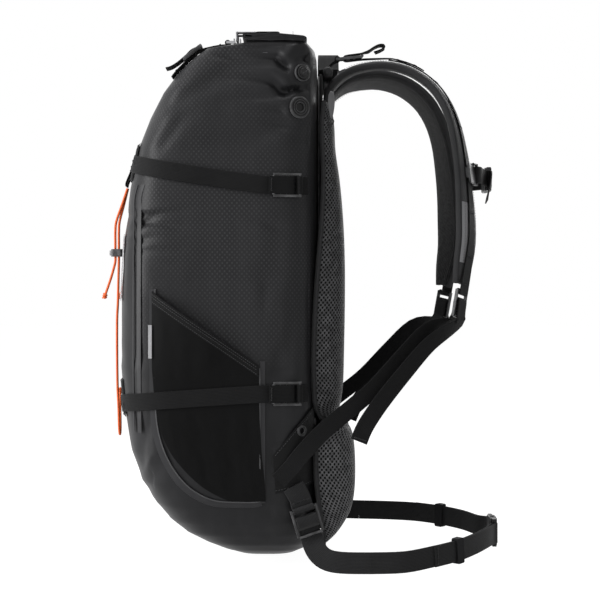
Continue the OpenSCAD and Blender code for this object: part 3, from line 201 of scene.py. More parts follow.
# ---------------------------------------------------------------- mesh building
class Build:
    def __init__(self):
        self.v, self.f, self.uv, self.m = [], [], [], []

    def grid(self, points, uvs, closed=False, mat=0, flip=False):
        """points[i][j] with uvs[i][j]; a closed grid's uvs have one more column than its points."""
        n, m = len(points), len(points[0])
        base = len(self.v)
        for row in points:
            self.v.extend(tuple(p) for p in row)
        for i in range(n - 1):
            for j in range(m if closed else m - 1):
                k = (j + 1) % m
                ids = [base + i * m + j, base + i * m + k, base + (i + 1) * m + k, base + (i + 1) * m + j]
                st = [uvs[i][j], uvs[i][j + 1], uvs[i + 1][j + 1], uvs[i + 1][j]]
                if flip:
                    ids, st = ids[::-1], st[::-1]
                self.f.append(ids)
                self.uv.append(st)
                self.m.append(mat)
        return base

    def field(self, rows, cols, at, **how):
        """A grid of rows by cols faces, where at(row, column) gives a point and its uv."""
        cells = [[at(r, c) for c in range(cols + 1)] for r in range(rows + 1)]
        points, uvs = ([[cell[k] for cell in row] for row in cells] for k in (0, 1))
        return self.grid(points, uvs, **how)

    def cap(self, ids, uvs, mat=0, flip=False):
        ids, uvs = list(ids), list(uvs)
        if flip:
            ids, uvs = ids[::-1], uvs[::-1]
        self.f.append(ids)
        self.uv.append(uvs)
        self.m.append(mat)

    def sweep(self, line, across, rings, mat=0, flat=False, caps=True, mats=None):
        """Rings of [across, up] along a line. flat uses the across distance as u, as webbing needs."""
        line = [vec(p) for p in line]
        m = len(rings[0])
        points, uvs, run = [], [], 0.0
        for i, p in enumerate(line):
            t = along(line, i)
            w = unit(vec(across[i]) - np.dot(vec(across[i]), t) * t)
            d = np.cross(t, w)
            if i:
                run += np.linalg.norm(p - line[i - 1])
            points.append([p + q[0] * w + q[1] * d for q in rings[i]])
            if flat:
                us = [q[0] for q in rings[i]] + [rings[i][0][0]]
            else:
                us = [0.0]
                for j in range(m):
                    a, b = rings[i][j], rings[i][(j + 1) % m]
                    us.append(us[-1] + math.hypot(a[0] - b[0], a[1] - b[1]))
            uvs.append([(u / 10, run / 10) for u in us])
        first = len(self.f)
        base = self.grid(points, uvs, closed=True, mat=mat)
        if mats:
            for n in range(first, len(self.f)):
                self.m[n] = mats((n - first) // m, (n - first) % m)
        if caps:
            last = base + (len(line) - 1) * m
            self.cap(range(base, base + m), [(q[0] / 10, q[1] / 10) for q in rings[0]], mat, flip=True)
            self.cap(range(last, last + m), [(q[0] / 10, q[1] / 10) for q in rings[-1]], mat)

    def ribbon(self, rows, width, k=3, thick=WEB, mat=0):
        """Webbing through rows of [x, y, z, across x, across y, across z]."""
        path = smooth(rows, k)
        ring = ribbon_ring(width, thick)
        self.sweep([p[:3] for p in path], [p[3:] for p in path], [ring] * len(path), mat, flat=True)

    def turned(self, place, axis, toward, profile, steps, uv, mat=0, closed=True):
        """Turns a profile of [radius, height along the axis] about an axis, from inside to outside."""
        axis, u, w = around(axis, toward)
        points, uvs = [], []
        for s in range(steps + 1):
            t = 2 * math.pi * s / steps
            d = u * math.cos(t) + w * math.sin(t)
            points.append([vec(place) + a * axis + r * d for r, a in profile])
            uvs.append([uv(r, a, t) for r, a in profile + profile[:1]])
        self.grid(points, uvs, closed=closed, mat=mat)

    def ring(self, place, axis, toward, r_out, width, mat=0):
        """The sewn eye of webbing round a bar: a short sleeve about an axis."""
        h, c, r_in = width / 2, 0.35, r_out - WEB
        profile = [(r_out - c, -h), (r_out, -h + c), (r_out, 0), (r_out, h - c), (r_out - c, h),
                   (r_in, h), (r_in, 0), (r_in, -h)]
        self.turned(place, axis, toward, profile, 20, lambda r, a, t: (a / 10, r_out * t / 10), mat)

    def eye(self, lock, width, mat=0):
        self.ring(lock.o, lock.y, lock.x, EYE_R, width, mat)

    def lathe(self, place, axis, profile, steps=64, mat=0, closed=True):
        self.turned(place, axis, (0, 0, 1), profile, steps, lambda r, a, t: (r * t / 10, (a + r) / 10),
                    mat, closed)

    def stitches(self, line, out, pitch=3.4, length=2.3, radius=0.28, mat=1):
        """A row of thread stitches on a surface. out gives the way out of it at each point."""
        line = [vec(p) for p in line]
        seg = [np.linalg.norm(b - a) for a, b in zip(line, line[1:])]
        total = sum(seg)
        s, i, done = pitch / 2, 0, 0.0
        while s < total - pitch / 2:
            while done + seg[i] < s:
                done += seg[i]
                i += 1
            f = (s - done) / max(seg[i], 1e-6)
            p = line[i] * (1 - f) + line[i + 1] * f
            t = unit(line[i + 1] - line[i])
            n = unit(vec(out[i]) * (1 - f) + vec(out[i + 1]) * f)
            w = np.cross(n, t)
            base = len(self.v)
            for e, r in ((-0.5, 0.5), (-0.3, 1.0), (0.3, 1.0), (0.5, 0.5)):
                q = p + e * length * t + (0 if r > 0.9 else -radius * 0.6) * n
                for a in range(6):
                    c = math.pi * a / 3
                    self.v.append(tuple(q + r * radius * (math.cos(c) * w * 1.25 + math.sin(c) * n)))
            for e in range(3):
                for a in range(6):
                    b = (a + 1) % 6
                    self.f.append([base + e * 6 + k for k in (a, b, 6 + b, 6 + a)])
                    self.uv.append([(0, 0), (0.1, 0), (0.1, 0.1), (0, 0.1)])
                    self.m.append(mat)
            s += pitch

    def bartack(self, place, across, run, width=15, length=1.6, mat=1):
        """A dense block of zigzag thread across a webbing."""
        place, across, run = vec(place), unit(across), unit(run)
        n = np.cross(run, across)
        count = int(width / 0.8)
        line = [place + across * (-width / 2 + width * i / count) + run * (length / 2 * (-1) ** i)
                for i in range(count + 1)]
        ring = [(0.32 * math.cos(a * math.pi / 3), 0.32 * math.sin(a * math.pi / 3)) for a in range(6)]
        self.sweep(line, [n] * len(line), [ring] * len(line), mat)


def ribbon_ring(width, thick):
    h, t, c = width / 2, thick / 2, min(0.5, thick * 0.35)
    return [(-h, -t + c), (-h + c, -t), (-h / 3, -t), (h / 3, -t), (h - c, -t), (h, -t + c),
            (h, t - c), (h - c, t), (h / 3, t), (-h / 3, t), (-h + c, t), (-h, t - c)]


def oval(width, thick, square, sides):
    out = []
    for k in range(sides):
        c, s = math.cos(2 * math.pi * k / sides), math.sin(2 * math.pi * k / sides)
        out.append((width / 2 * sgn(c) * abs(c) ** (2 / square), thick / 2 * sgn(s) * abs(s) ** (2 / square)))
    return out


def piece(name, build, mats, body="pack", replaces=(), slot=None, mirror=False, angle=40, subdivide=0,
          bend=None):
    """Makes the Blender object in metres. It rides on a body, or, when given a bend, is left where it is
    built, on no body.
    """
    v = np.array(build.v, dtype=float) / 1000
    faces, uvs = build.f, build.uv
    if mirror:
        v[:, 1] *= -1
        faces = [f[::-1] for f in faces]
        uvs = [u[::-1] for u in uvs]
    mesh = bpy.data.meshes.new(name)
    mesh.from_pydata(v.tolist(), [], faces)
    layer = mesh.uv_layers.new(name="UVMap")
    flat = [c for face in uvs for st in face for c in st]
    layer.data.foreach_set("uv", flat)
    mesh.polygons.foreach_set("material_index", build.m)
    for m in mats if isinstance(mats, (list, tuple)) else [mats]:
        mesh.materials.append(m)
    mesh.validate()
    mesh.update()
    obj = bpy.data.objects.new(name, mesh)
    scene.collection.objects.link(obj)
    with bpy.context.temp_override(object=obj, active_object=obj, selected_editable_objects=[obj],
                                   selected_objects=[obj]):
        bpy.ops.object.shade_smooth_by_angle(angle=math.radians(angle))
    if subdivide:
        sub = obj.modifiers.new("soft", "SUBSURF")
        sub.levels = sub.render_levels = subdivide
    if bend:
        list(bend)
        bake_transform(obj)
    else:
        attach(obj, body)
    if replaces:
        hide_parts(*replaces)
    return obj


def strap(node, build, mats, mirror, **how):
    """The webbing that stands for a node and is named after it."""
    return piece(node + "_cloth", build, mats, replaces=(node,), slot="webbing", mirror=mirror, **how)


def flat(points):
    """Ribbon rows for webbing that lies across Y."""
    return [(*p, 0, 1, 0) for p in points]


def upright(points):
    """Ribbon rows for webbing that stands on edge, across Z."""
    return [(*p, 0, 0, 1) for p in points]


SIDES = (("right", False), ("left", True))


# ---------------------------------------------------------------- materials
class Nodes:
    """Short calls for a material's nodes. Texture coordinates are UVs in centimetres."""

    def __init__(self, name):
        self.mat = bpy.data.materials.new(name)
        self.mat.use_nodes = True
        self.t = self.mat.node_tree
        self.shader = self.t.nodes["Principled BSDF"]
        self.coord = self.t.nodes.new("ShaderNodeTexCoord")

    def new(self, kind, **inputs):
        node = self.t.nodes.new("ShaderNode" + kind)
        for key, value in inputs.items():
            self.set(node.inputs[key.replace("_", " ")], value)
        return node

    def set(self, socket, value):
        if isinstance(value, bpy.types.NodeSocket):
            self.t.links.new(value, socket)
        else:
            socket.default_value = value

    def math(self, op, a, b=0.0):
        node = self.t.nodes.new("ShaderNodeMath")
        node.operation = op
        self.set(node.inputs[0], a)
        self.set(node.inputs[1], b)
        return node.outputs[0]

    def mul(self, a, b):
        return self.math("MULTIPLY", a, b)

    def add(self, a, b):
        return self.math("ADD", a, b)

    def less(self, a, b):
        return self.math("SUBTRACT", a, b)

    def pointiness(self):
        return self.t.nodes.new("ShaderNodeNewGeometry").outputs["Pointiness"]

    def place(self, scale=(1, 1, 1), rot=(0, 0, 0), source="UV"):
        node = self.new("Mapping", Vector=self.coord.outputs[source])
        node.inputs["Scale"].default_value = scale
        node.inputs["Rotation"].default_value = rot
        return node.outputs[0]

    def noise(self, scale, detail=4.0, rough=0.55, vector=None):
        node = self.new("TexNoise", Scale=scale, Detail=detail, Roughness=rough)
        self.set(node.inputs["Vector"], vector or self.coord.outputs["Object"])
        return node.outputs["Fac"]

    def wave(self, period, turn=0.0):
        """Stripes of one period in cm across the UV's u, turned by an angle in degrees."""
        node = self.new("TexWave", Scale=0.31416 / period, Vector=self.place(rot=(0, 0, math.radians(turn))))
        return node.outputs["Fac"]

    def axis(self, name, source="Object"):
        node = self.new("SeparateXYZ", Vector=self.coord.outputs[source])
        return node.outputs[name]

    def step(self, value, a, b):
        """0 below a, 1 above b, and even between them."""
        node = self.new("MapRange", Value=value, From_Min=a, From_Max=b)
        return node.outputs["Result"]

    def dots(self, across, up):
        """Staggered round dots, spaced in cm across and from row to row."""
        c = [self.math("COSINE", self.mul(self.axis(k, "UV"), 2 * math.pi / w))
             for k, w in (("X", across), ("Y", 2 * up))]
        return self.mul(*c)

    def ramp(self, fac, stops):
        node = self.new("ValToRGB", Fac=fac)
        e = node.color_ramp.elements
        while len(e) < len(stops):
            e.new(0.5)
        for item, (pos, value) in zip(e, stops):
            item.position = pos
            item.color = (value, value, value, 1)
        return node.outputs["Color"]

    def mix(self, fac, a, b):
        node = self.t.nodes.new("ShaderNodeMix")
        node.data_type = "RGBA"
        self.set(node.inputs["Factor"], fac)
        for socket, value in ((node.inputs[6], a), (node.inputs[7], b)):
            self.set(socket, value if isinstance(value, bpy.types.NodeSocket) else tuple(value) + (1,))
        return node.outputs[2]

    def bump(self, *heights):
        """Bumps of (height socket, strength, depth in mm), one on another."""
        normal = None
        for height, strength, depth in heights:
            node = self.new("Bump", Strength=strength, Distance=depth / 1000)
            self.set(node.inputs["Height"], height)
            if normal:
                self.set(node.inputs["Normal"], normal)
            normal = node.outputs["Normal"]
        self.set(self.shader.inputs["Normal"], normal)

    def finish(self, colour, rough, specular, sheen=0.0, metal=0.0):
        s = self.shader.inputs
        self.set(s["Base Color"], colour)
        self.set(s["Roughness"], rough)
        s["Specular IOR Level"].default_value = specular
        s["Sheen Weight"].default_value = sheen
        s["Sheen Roughness"].default_value = 0.4
        s["Metallic"].default_value = metal
        return self.mat


def grey(v, tint=1.03):
    return (v, v, v * tint)


def coated(name, v, dotted=True, rough=(0.42, 0.6), specular=0.12):
    """Waterproof coated cloth under a satin film, with rows of fine raised dots on its main panels and
    painted sheen in long upright streaks.
    """
    n = Nodes(name)
    patch = n.noise(7.0, 5.0)
    base = n.mix(n.ramp(patch, [(0.3, 0.0), (0.7, 1.0)]), grey(v * 0.84, 1.07), grey(v * 1.18, 1.07))
    # painted sheen: stretched noise lightens the colour in upright streaks where the film's reflections would
    # fall; the same noise also drives a faint bump
    painted_sheen_streak = n.noise(1.0, 5.0, vector=n.place(scale=(60, 60, 5), source="Object"))
    base = n.mix(n.ramp(painted_sheen_streak, [(0.45, 0.0), (0.75, 0.4)]), base, grey(v * 1.6, 1.05))
    heights = [(n.noise(60.0, 4.0), 0.25, 1.0), (n.noise(900.0, 2.0), 0.25, 0.12), (painted_sheen_streak, 0.12, 0.5)]
    if dotted:
        x, z = n.axis("X"), n.axis("Z")
        open_cloth = n.mul(n.step(x, -0.228, -0.200), n.step(z, -0.385, -0.345))
        gathered = n.mul(n.step(x, -0.105, -0.075), n.step(z, -0.088, -0.062))
        shown = n.mul(open_cloth, n.less(1.0, gathered))
        dot = n.mul(n.ramp(n.dots(0.56, 0.31), [(0.15, 0.0), (0.75, 1.0)]), shown)
        faint = n.mul(dot, n.ramp(n.noise(6.0, 3.0), [(0.38, 0.35), (0.6, 1.0)]))
        base = n.mix(faint, base, grey(v * 2.5, 1.05))
        heights.append((dot, 0.4, 0.25))
    scuff = n.ramp(n.noise(38.0, 8.0, 0.7), [(0.62, 0.0), (0.75, 1.0)])
    base = n.mix(n.mul(scuff, 0.2), base, grey(v * 2.2))
    n.bump(*heights)
    r = n.add(n.mul(patch, rough[1] - rough[0]), rough[0])
    return n.finish(base, r, specular, sheen=0.02)


def webbing_look(name, v):
    """Flat nylon webbing: ribs along it and fine picks across it."""
    n = Nodes(name)
    weave = n.mul(n.wave(0.16), n.wave(0.11, 90))
    tone = n.add(n.mul(weave, 0.6), n.mul(n.noise(25.0, 5.0), 0.4))
    base = n.mix(tone, grey(v * 0.45), grey(v * 1.9))
    n.bump((weave, 0.8, 0.26), (n.noise(400.0, 3.0), 0.3, 0.1))
    return n.finish(base, n.add(n.mul(tone, 0.2), 0.52), 0.06, sheen=0.015)


def knit(name, v):
    """Stretch knit of the side pockets: fine ribs and a little gloss where it is taut."""
    n = Nodes(name)
    k = n.mul(n.wave(0.09), n.wave(0.07, 90))
    base = n.mix(n.add(n.mul(k, 0.5), n.mul(n.noise(12.0, 4.0), 0.5)),
                 grey(v * 0.6), grey(v * 1.5))
    n.bump((n.noise(16.0, 3.0), 0.35, 2.0), (k, 0.5, 0.15))
    return n.finish(base, 0.66, 0.06, sheen=0.02)


def mesh_look(name, v, across, up):
    """Spacer mesh: staggered holes, painted near black as the shade inside them, in a raised net of lighter
    yarn.
    """
    n = Nodes(name)
    d = n.dots(across, up)
    wob = n.mul(n.less(n.noise(400.0, 2.0), 0.5), 0.5)
    hole_shade_mask = n.ramp(n.add(d, wob), [(0.05, 0.0), (0.45, 1.0)])
    yarn = n.noise(700.0, 3.0)
    knot = n.ramp(d, [(0.0, 1.0), (0.35, 0.0)])
    base = n.mix(yarn, grey(v * 0.6), grey(v * 1.3))
    base = n.mix(n.mul(knot, n.ramp(n.noise(150.0, 3.0), [(0.4, 0.2), (0.6, 1.0)])), base, grey(v * 2.0))
    # painted shade: the holes are filled with near black for the shade down inside them
    base = n.mix(hole_shade_mask, base, grey(0.003))
    n.bump((n.less(1.0, hole_shade_mask), 1.0, 1.1), (yarn, 0.3, 0.15))
    return n.finish(base, n.ramp(hole_shade_mask, [(0.0, 0.55), (1.0, 0.9)]), 0.12, sheen=0.03)


def woven(name, v, period=0.07, rough=0.7, specular=0.1):
    """Plain weave, one yarn over and one under."""
    n = Nodes(name)
    a, b = n.wave(period), n.wave(period, 90)
    w = n.math("MAXIMUM", n.mul(a, n.less(1.0, b)),
               n.mul(b, n.less(1.0, a)))
    tone = n.add(n.mul(w, 0.5), n.mul(n.noise(18.0, 5.0), 0.5))
    n.bump((n.noise(30.0, 4.0), 0.45, 1.2), (w, 0.6, 0.16))
    return n.finish(n.mix(tone, grey(v * 0.6), grey(v * 1.4)), rough, specular, sheen=0.03)


def plastic(name, v, rough=0.3):
    """Moulded acetal: fine spark texture, with a painted highlight on the raised edges."""
    n = Nodes(name)
    fine = n.noise(1500.0, 3.0)
    # painted highlight: raised edges, found by pointiness, are lightened where the lamps would catch them
    edge_wear_and_highlight = n.mul(n.ramp(n.pointiness(), [(0.515, 0.0), (0.59, 1.0)]),
                  n.ramp(n.noise(120.0, 4.0), [(0.4, 0.35), (0.7, 1.0)]))
    base = n.mix(edge_wear_and_highlight, n.mix(n.noise(60.0), grey(v * 0.8), grey(v * 1.25)), grey(v * 5 + 0.09))
    n.bump((fine, 0.15, 0.06), (n.noise(150.0), 0.12, 0.15))
    r = n.add(n.mul(n.noise(90.0, 4.0), 0.16), rough - 0.06)
    return n.finish(base, r, 0.22)


def metal(name, colour, rough=0.32):
    n = Nodes(name)
    grain = n.noise(300.0, 4.0, vector=n.place(scale=(1, 1, 12), source="Object"))
    edge_wear_and_highlight = n.ramp(n.pointiness(), [(0.53, 0.0), (0.62, 1.0)])
    base = n.mix(n.mul(edge_wear_and_highlight, n.noise(80.0)), colour, (0.6, 0.6, 0.62))
    n.bump((grain, 0.12, 0.05))
    return n.finish(base, n.add(n.mul(grain, 0.2), rough - 0.08), 0.5, metal=0.9)


def braid(name, a, b):
    """Braided cord: two crossing sets of yarns round it."""
    n = Nodes(name)
    d = n.mul(n.wave(0.16, 40), n.wave(0.16, -40))
    base = n.mix(n.add(n.mul(d, 0.7), n.mul(n.noise(90.0), 0.3)), a, b)
    n.bump((d, 0.7, 0.25), (n.noise(900.0), 0.3, 0.08))
    return n.finish(base, 0.55, 0.35, sheen=0.1)


def reflective(name):
    """Grey reflective tape: tiny beads in faint diagonal cells."""
    n = Nodes(name)
    cells = n.ramp(n.math("MAXIMUM", n.wave(0.3, 45), n.wave(0.3, -45)), [(0.85, 0.0), (0.95, 1.0)])
    base = n.mix(cells, n.mix(n.noise(500.0), grey(0.30), grey(0.42)), grey(0.24))
    n.bump((n.noise(1500.0), 0.3, 0.05), (cells, 0.2, 0.05))
    return n.finish(base, 0.4, 0.5)


BAG = coated("coated_ripstop", 0.0165, rough=(0.36, 0.5), specular=0.14)
TRIM = coated("welded_tape", 0.026, dotted=False, rough=(0.36, 0.5), specular=0.18)
ROLL = coated("coated_roll", 0.032, dotted=False, rough=(0.38, 0.55), specular=0.15)
LINING = coated("lining", 0.10, dotted=False)
KEEPER = coated("elastic_keeper", 0.014, dotted=False, rough=(0.6, 0.75), specular=0.08)
STRAP = webbing_look("webbing", 0.012)
WIDE = webbing_look("webbing_wide", 0.03)
KNIT = knit("stretch_knit", 0.0055)
HEM = woven("hem_tape", 0.0075, 0.06)
MESH = mesh_look("air_mesh", 0.058, 0.50, 0.29)
COARSE = mesh_look("air_mesh_coarse", 0.085, 0.52, 0.31)
SQUARE = mesh_look("strap_mesh", 0.020, 0.34, 0.17)
COVER = woven("pad_cover", 0.05, 0.06, 0.68, specular=0.14)
BINDING = woven("binding", 0.045, 0.05, 0.78, specular=0.08)
PANEL = woven("panel_cloth", 0.008, 0.08)
GREYPAD = woven("grey_panel", 0.38, 0.07, 0.55)
GUSSET = woven("gusset_cloth", 0.009, 0.07, 0.6)
PLASTIC = plastic("black_acetal", 0.010)
GREYPLASTIC = plastic("grey_acetal", 0.10)
SATIN = metal("dark_anodised", (0.035, 0.035, 0.037), 0.28)
SILVER = metal("aluminium", (0.55, 0.55, 0.57))
# painted shade: the frame sheet, and the roll slat with it, is coloured near black so the gap between bag and
# pads reads as shade
SHADED_SHEET = plastic("sheet_plastic", 0.008, 0.5)
SEAM = woven("seam_bead", 0.085, 0.05, 0.5)
PULLER = plastic("grey_tab", 0.16, 0.5)
CORD = braid("orange_braid", (0.72, 0.085, 0.012), (1.0, 0.24, 0.06))
THREAD = braid("thread", (0.03, 0.03, 0.032), (0.06, 0.06, 0.063))
TAPE = reflective("reflective_tape")
RUBBER = plastic("port_rubber", 0.010, 0.36)

# ---------------------------------------------------------------- cords
TOOL_Y = 70
LONG_CORD = [
    (-241.6, 1.7, -168.7), (-246.4, 1.4, -188), (-251.4, 0.2, -208), (-252.3, 0, -220),
    (-252.3, 0, -234), (-252.3, 0, -246), (-252.3, 0, -256), (-252.8, 0, -275), (-253.5, 0, -305),
    (-254.5, 0, -326), (-254.5, 0, -365), (-254, 0, -403),
    (-252.8, 0, -430), (-252.3, 0.2, -448), (-252, 1.6, -459), (-251.8, 6, -464), (-251.8, 10.4, -459),
    (-252, 12, -448), (-252.3, 12, -428), (-252.1, 12, -408)]
SHORT_CORD = [
    (-241.6, -1.7, -168.7), (-248.2, -1.4, -188), (-255.3, -0.2, -208), (-256.6, 0, -220),
    (-256.6, 0, -234), (-256.6, 0, -246), (-256.6, 0, -256), (-258.9, 0, -266),
    (-262.5, 0.5, -278), (-267, 1, -291), (-269, 1, -297), (-270, 1, -301)]
for side, mirror in SIDES:
    sign = -1 if mirror else 1
    for part, route in (("long", LONG_CORD), ("short", SHORT_CORD)):
        path = [p + vec(0, -TOOL_Y, 0) for p in smooth(route, 6)]
        b = Build()
        b.sweep(path, [(0, 1, 0.01)] * len(path), [oval(3, 3, 2, 14)] * len(path))
        tube = piece(f"tool_cord_{part}_{side}", b, CORD, replaces=(f"tool_cord_{side}",),
                     slot="orange_cord", mirror=mirror)
        # the stopper knot is two tight wraps of the cord round itself
        k = Build()
        back = unit(path[-2] - path[-1])
        side_way = unit(np.cross(back, (0, 1, 0.02)))
        other = np.cross(back, side_way)
        wraps = []
        for t in np.linspace(0, 1, 29):
            a = 4 * math.pi * t
            round_it = math.cos(a) * side_way + math.sin(a) * other
            wraps.append(path[-1] + back * (0.8 + 5.0 * t) + 1.9 * round_it)
        k.sweep(wraps, [back] * len(wraps), [oval(2.3, 2.3, 2, 10)] * len(wraps))
        carried = [piece(f"cord_knot_{part}_{side}", k, CORD, slot="orange_cord", mirror=mirror)]
        if part == "long":
            carried += [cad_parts[f"cord_lock_{side}"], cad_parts[f"cord_button_{side}"]]
        metres = [(p[0] / 1000, sign * p[1] / 1000, p[2] / 1000) for p in path]
        length = sum(math.dist(a, c) for a, c in zip(metres, metres[1:]))
        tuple(metres[0])

# ---------------------------------------------------------------- bag
# Folds of the cloth: x, z, direction in degrees from +X, half length, half width and depth (negative inwards)
FOLDS = [
    (-62, -26, -38, 26, 5, -6.5), (-70, -44, -30, 24, 8, 2.6), (-64, -56, -36, 20, 6, -6.0),
    (-40, -61, 10, 20, 4.5, -5.5), (-26, -28, 24, 14, 5, -4.5), (-44, -14, 42, 16, 5, 2.2),
    (-92, -50, -10, 26, 7, -2.8), (-84, -70, 4, 30, 7, -2.4), (-56, -86, -8, 20, 5, -2.8),
    (-60, -100, -10, 26, 7, -2.2), (-110, -26, -12, 34, 6, -2.6), (-34, -122, 10, 22, 6, -2.5),
    (-100, -120, 18, 60, 12, -2.0), (-180, -110, 48, 40, 9, -2.0), (-150, -60, 30, 45, 9, -2.6),
    (-206, -204, 3, 26, 4.5, -3.6), (-202, -196, 2, 22, 4, 2.2), (-214, -216, 26, 18, 4.5, -3.0),
    (-196, -216, -6, 24, 4.5, -2.4), (-215, -236, 12, 20, 5, -1.8), (-200, -246, 4, 26, 4, -1.4),
    (-112, -226, -50, 16, 5, -2.0), (-70, -216, -12, 20, 6, -1.6), (-120, -240, 62, 70, 14, -1.4),
    (-70, -270, 75, 60, 12, -1.4), (-214, -468, 78, 34, 7, -3.0), (-200, -500, 64, 34, 7, -3.2),
    (-206, -484, 70, 20, 5, 1.6), (-222, -440, 86, 30, 6, -2.2), (-186, -528, 52, 36, 8, -2.8),
    (-150, -562, 24, 44, 8, -2.4), (-100, -576, 8, 44, 7, -1.8), (-150, -548, 10, 50, 4, -1.4),
    (-60, -548, -16, 34, 8, -2.0), (-52, -500, -70, 34, 9, -2.2), (-230, -300, 84, 60, 9, -1.0),
    (-60, -380, 74, 26, 8, -2.6), (-66, -392, 20, 18, 6, -2.0), (-60, -440, 80, 44, 10, -2.0),
    (-44, -340, 86, 50, 8, -1.6)]


PORT_SPOT, PLUG_SPOT = (-36, -82), (-33, -42)
SMOOTHED_SPOTS = ((*PORT_SPOT, 15), (*PLUG_SPOT, 12))  # x, z and radius


def quiet(x, y, z):
    """1 on open cloth, and less where something lies on the bag."""
    calm = 1.0
    # under the side straps, which slope a little
    for strap_z, slope in ((-158, 0.08), (-412, -0.08)):
        calm = min(calm, 0.25 + 0.75 * clamp((abs(z - strap_z - (x + 140) * slope) - 22) / 14))
    # under the pocket
    if -205 < x < -78 and z < -285 and abs(y) > 100:
        calm = min(calm, 0.3)
    for cx, cz, r in SMOOTHED_SPOTS:
        calm = min(calm, 0.1 + 0.9 * clamp((math.hypot(x - cx, z - cz) - r) / 6))
    # against the back panel, and under the base wings
    if x > BACK_X - 10:
        calm = min(calm, 0.05)
    if -66 < x and z < -470:
        calm = min(calm, 0.4)
    return calm


def fold_depth(x, y, z):
    """Each fold is a valley or ridge with a soft counter-wave beside it."""
    d = 0.0
    for cx, cz, turn, ln, wd, depth in FOLDS:
        dx, dz = x - cx, z - cz
        if abs(dx) > ln * 2.5 or abs(dz) > ln * 2.5:
            continue
        wob = 5 * wobble(dx * 0.03, dz * 0.03, cx * 0.1 + (3 if y > 0 else 0))
        c, s = math.cos(math.radians(turn)), math.sin(math.radians(turn))
        u, v = dx * c + dz * s, -dx * s + dz * c + wob
        e = v / wd
        d += depth * math.exp(-(u / ln) ** 2) * (1 - 0.45 * e * e) * math.exp(-e * e / 1.6)
    return d


def cloth_depth(p):
    """How far the cloth stands out of the bag's smooth form, in mm."""
    x, y, z = p
    q = Vector((x * 0.011, y * 0.011, z * 0.011))
    big = noise.fractal(q, 1.0, 2.0, 3, noise_basis="PERLIN_ORIGINAL")
    mid = wobble(x * 0.035, y * 0.035 + 7, z * 0.024)
    side = min(1.0, abs(y) / 110)
    creases = fold_depth(x, y, z) * side * (1 + 0.45 * clamp((z + 150) / 50))
    # behind the roll the front slope gathers in long soft folds that run down it
    gather = 0.0
    if z > -150:
        near = min(1.0, (z + 150) / 90)
        gather = near * 1.9 * wobble(y * 0.045, z * 0.012, 4.0) * (1 - side * 0.6)
        if z > -14:
            gather *= 0.3
    d = 1.5 * big + 0.7 * mid + creases + gather - 0.6
    calm = quiet(x, y, z)
    return min(d * calm, (3.0 if z > -140 else 2.2) if calm > 0.9 else 0.35)


def bag_body():
    heights = []
    for i in range(len(OUTLINE) - 1):
        a, b = BASE_Z + OUTLINE[i, 0] * BAG_H, BASE_Z + OUTLINE[i + 1, 0] * BAG_H
        steps = max(1, int(math.ceil((b - a) / 3.0)))
        heights += [a + (b - a) * k / steps for k in range(steps)]
    heights.append(RIM_Z)
    turns = 264
    rows, inner, uvs = [], [], []
    for z in heights:
        ring, deep, st, run, last = [], [], [], 0.0, None
        for k in range(turns + 1):
            angle = 360.0 * k / turns
            p = bag_at(angle, z, 0)
            out = bag_at(angle, z, 1) - p
            if k < turns:
                d = cloth_depth(p)
                if z > RIM_Z - 3:
                    d *= 0.2
                ring.append(p + out * d)
                deep.append(p - out * 2.0 + out * min(d, 0))
            if last is not None:
                run += np.linalg.norm(p - last)
            last = p
            st.append((run / 10, z / 10))
        rows.append(ring)
        inner.append(deep)
        uvs.append(st)
    b = Build()
    top = len(heights) - 1
    first = b.grid(rows, uvs, closed=True)
    low = b.grid(inner, uvs, closed=True, flip=True, mat=1)
    n = turns
    for k in range(n):
        j = (k + 1) % n
        b.cap([first + top * n + k, first + top * n + j, low + top * n + j, low + top * n + k],
              [(0, 0), (0.3, 0), (0.3, 0.2), (0, 0.2)])
    # the base is closed by rings that shrink to its middle
    middle = vec((front_x(BASE_Z) + rear_x(BASE_Z)) / 2, 0, BASE_Z + 0.4)
    discs, duv = [rows[0]], []
    for s in (0.8, 0.55, 0.3, 0.08):
        discs.append([middle + (p - middle) * s for p in rows[0]])
    for ring in discs:
        duv.append([(p[0] / 10, p[1] / 10) for p in ring + ring[:1]])
    b.grid(discs, duv, closed=True, flip=True)
    piece("bag_body", b, [BAG, LINING], replaces=("bag_shell",), slot="coated_fabric", angle=80)


bag_body()


def surface_strip(b, centre, width, off, thick, mat=0):
    """A tape on the bag along (x, z) points. It follows the surface across its width too."""
    pts = smooth([(x, z, 0) for x, z in centre], 6)
    runs = np.cumsum([0.0] + [np.linalg.norm(q - p) for p, q in zip(pts, pts[1:])])
    cross = [(-0.5, 0), (-0.46, 1), (-0.15, 1), (0.15, 1), (0.46, 1), (0.5, 0)]

    def at(i, j):
        t, (s, up) = along(pts, i), cross[j]
        q = pts[i] + vec(-t[1], t[0], 0) * s * width
        return on_bag(q[0], q[1], off + thick * up), (s * width / 10, runs[i] / 10)

    b.field(len(pts) - 1, len(cross) - 1, at, mat=mat)


POCKET_FRONT, POCKET_REAR, POCKET_FOOT, HEM_FRONT, HEM_REAR = -199, -81, -533, -294, -378
FOOT_RUN = 78


def pocket_x(f):
    return POCKET_FRONT + (POCKET_REAR - POCKET_FRONT) * f


def pocket_top(x):
    return HEM_FRONT + (HEM_REAR - HEM_FRONT) * (x - POCKET_FRONT) / (POCKET_REAR - POCKET_FRONT)


def pocket_low(x):
    u = min((x - POCKET_FRONT) / FOOT_RUN, 1)
    return POCKET_FOOT + 110 * (1 - math.sqrt(1 - (1 - u) ** 2))


def gape(f, x):
    return 17 * math.sin(math.pi * f) * (pocket_top(x) + 396) / (HEM_FRONT + 396)


def pocket_point(f, z, off):
    x = pocket_x(f)
    lift = gape(f, x) * max(z + 396, 0) / max(pocket_top(x) + 396, 1)
    return bag_at(angle_at_x(x, -430), z, off + lift)


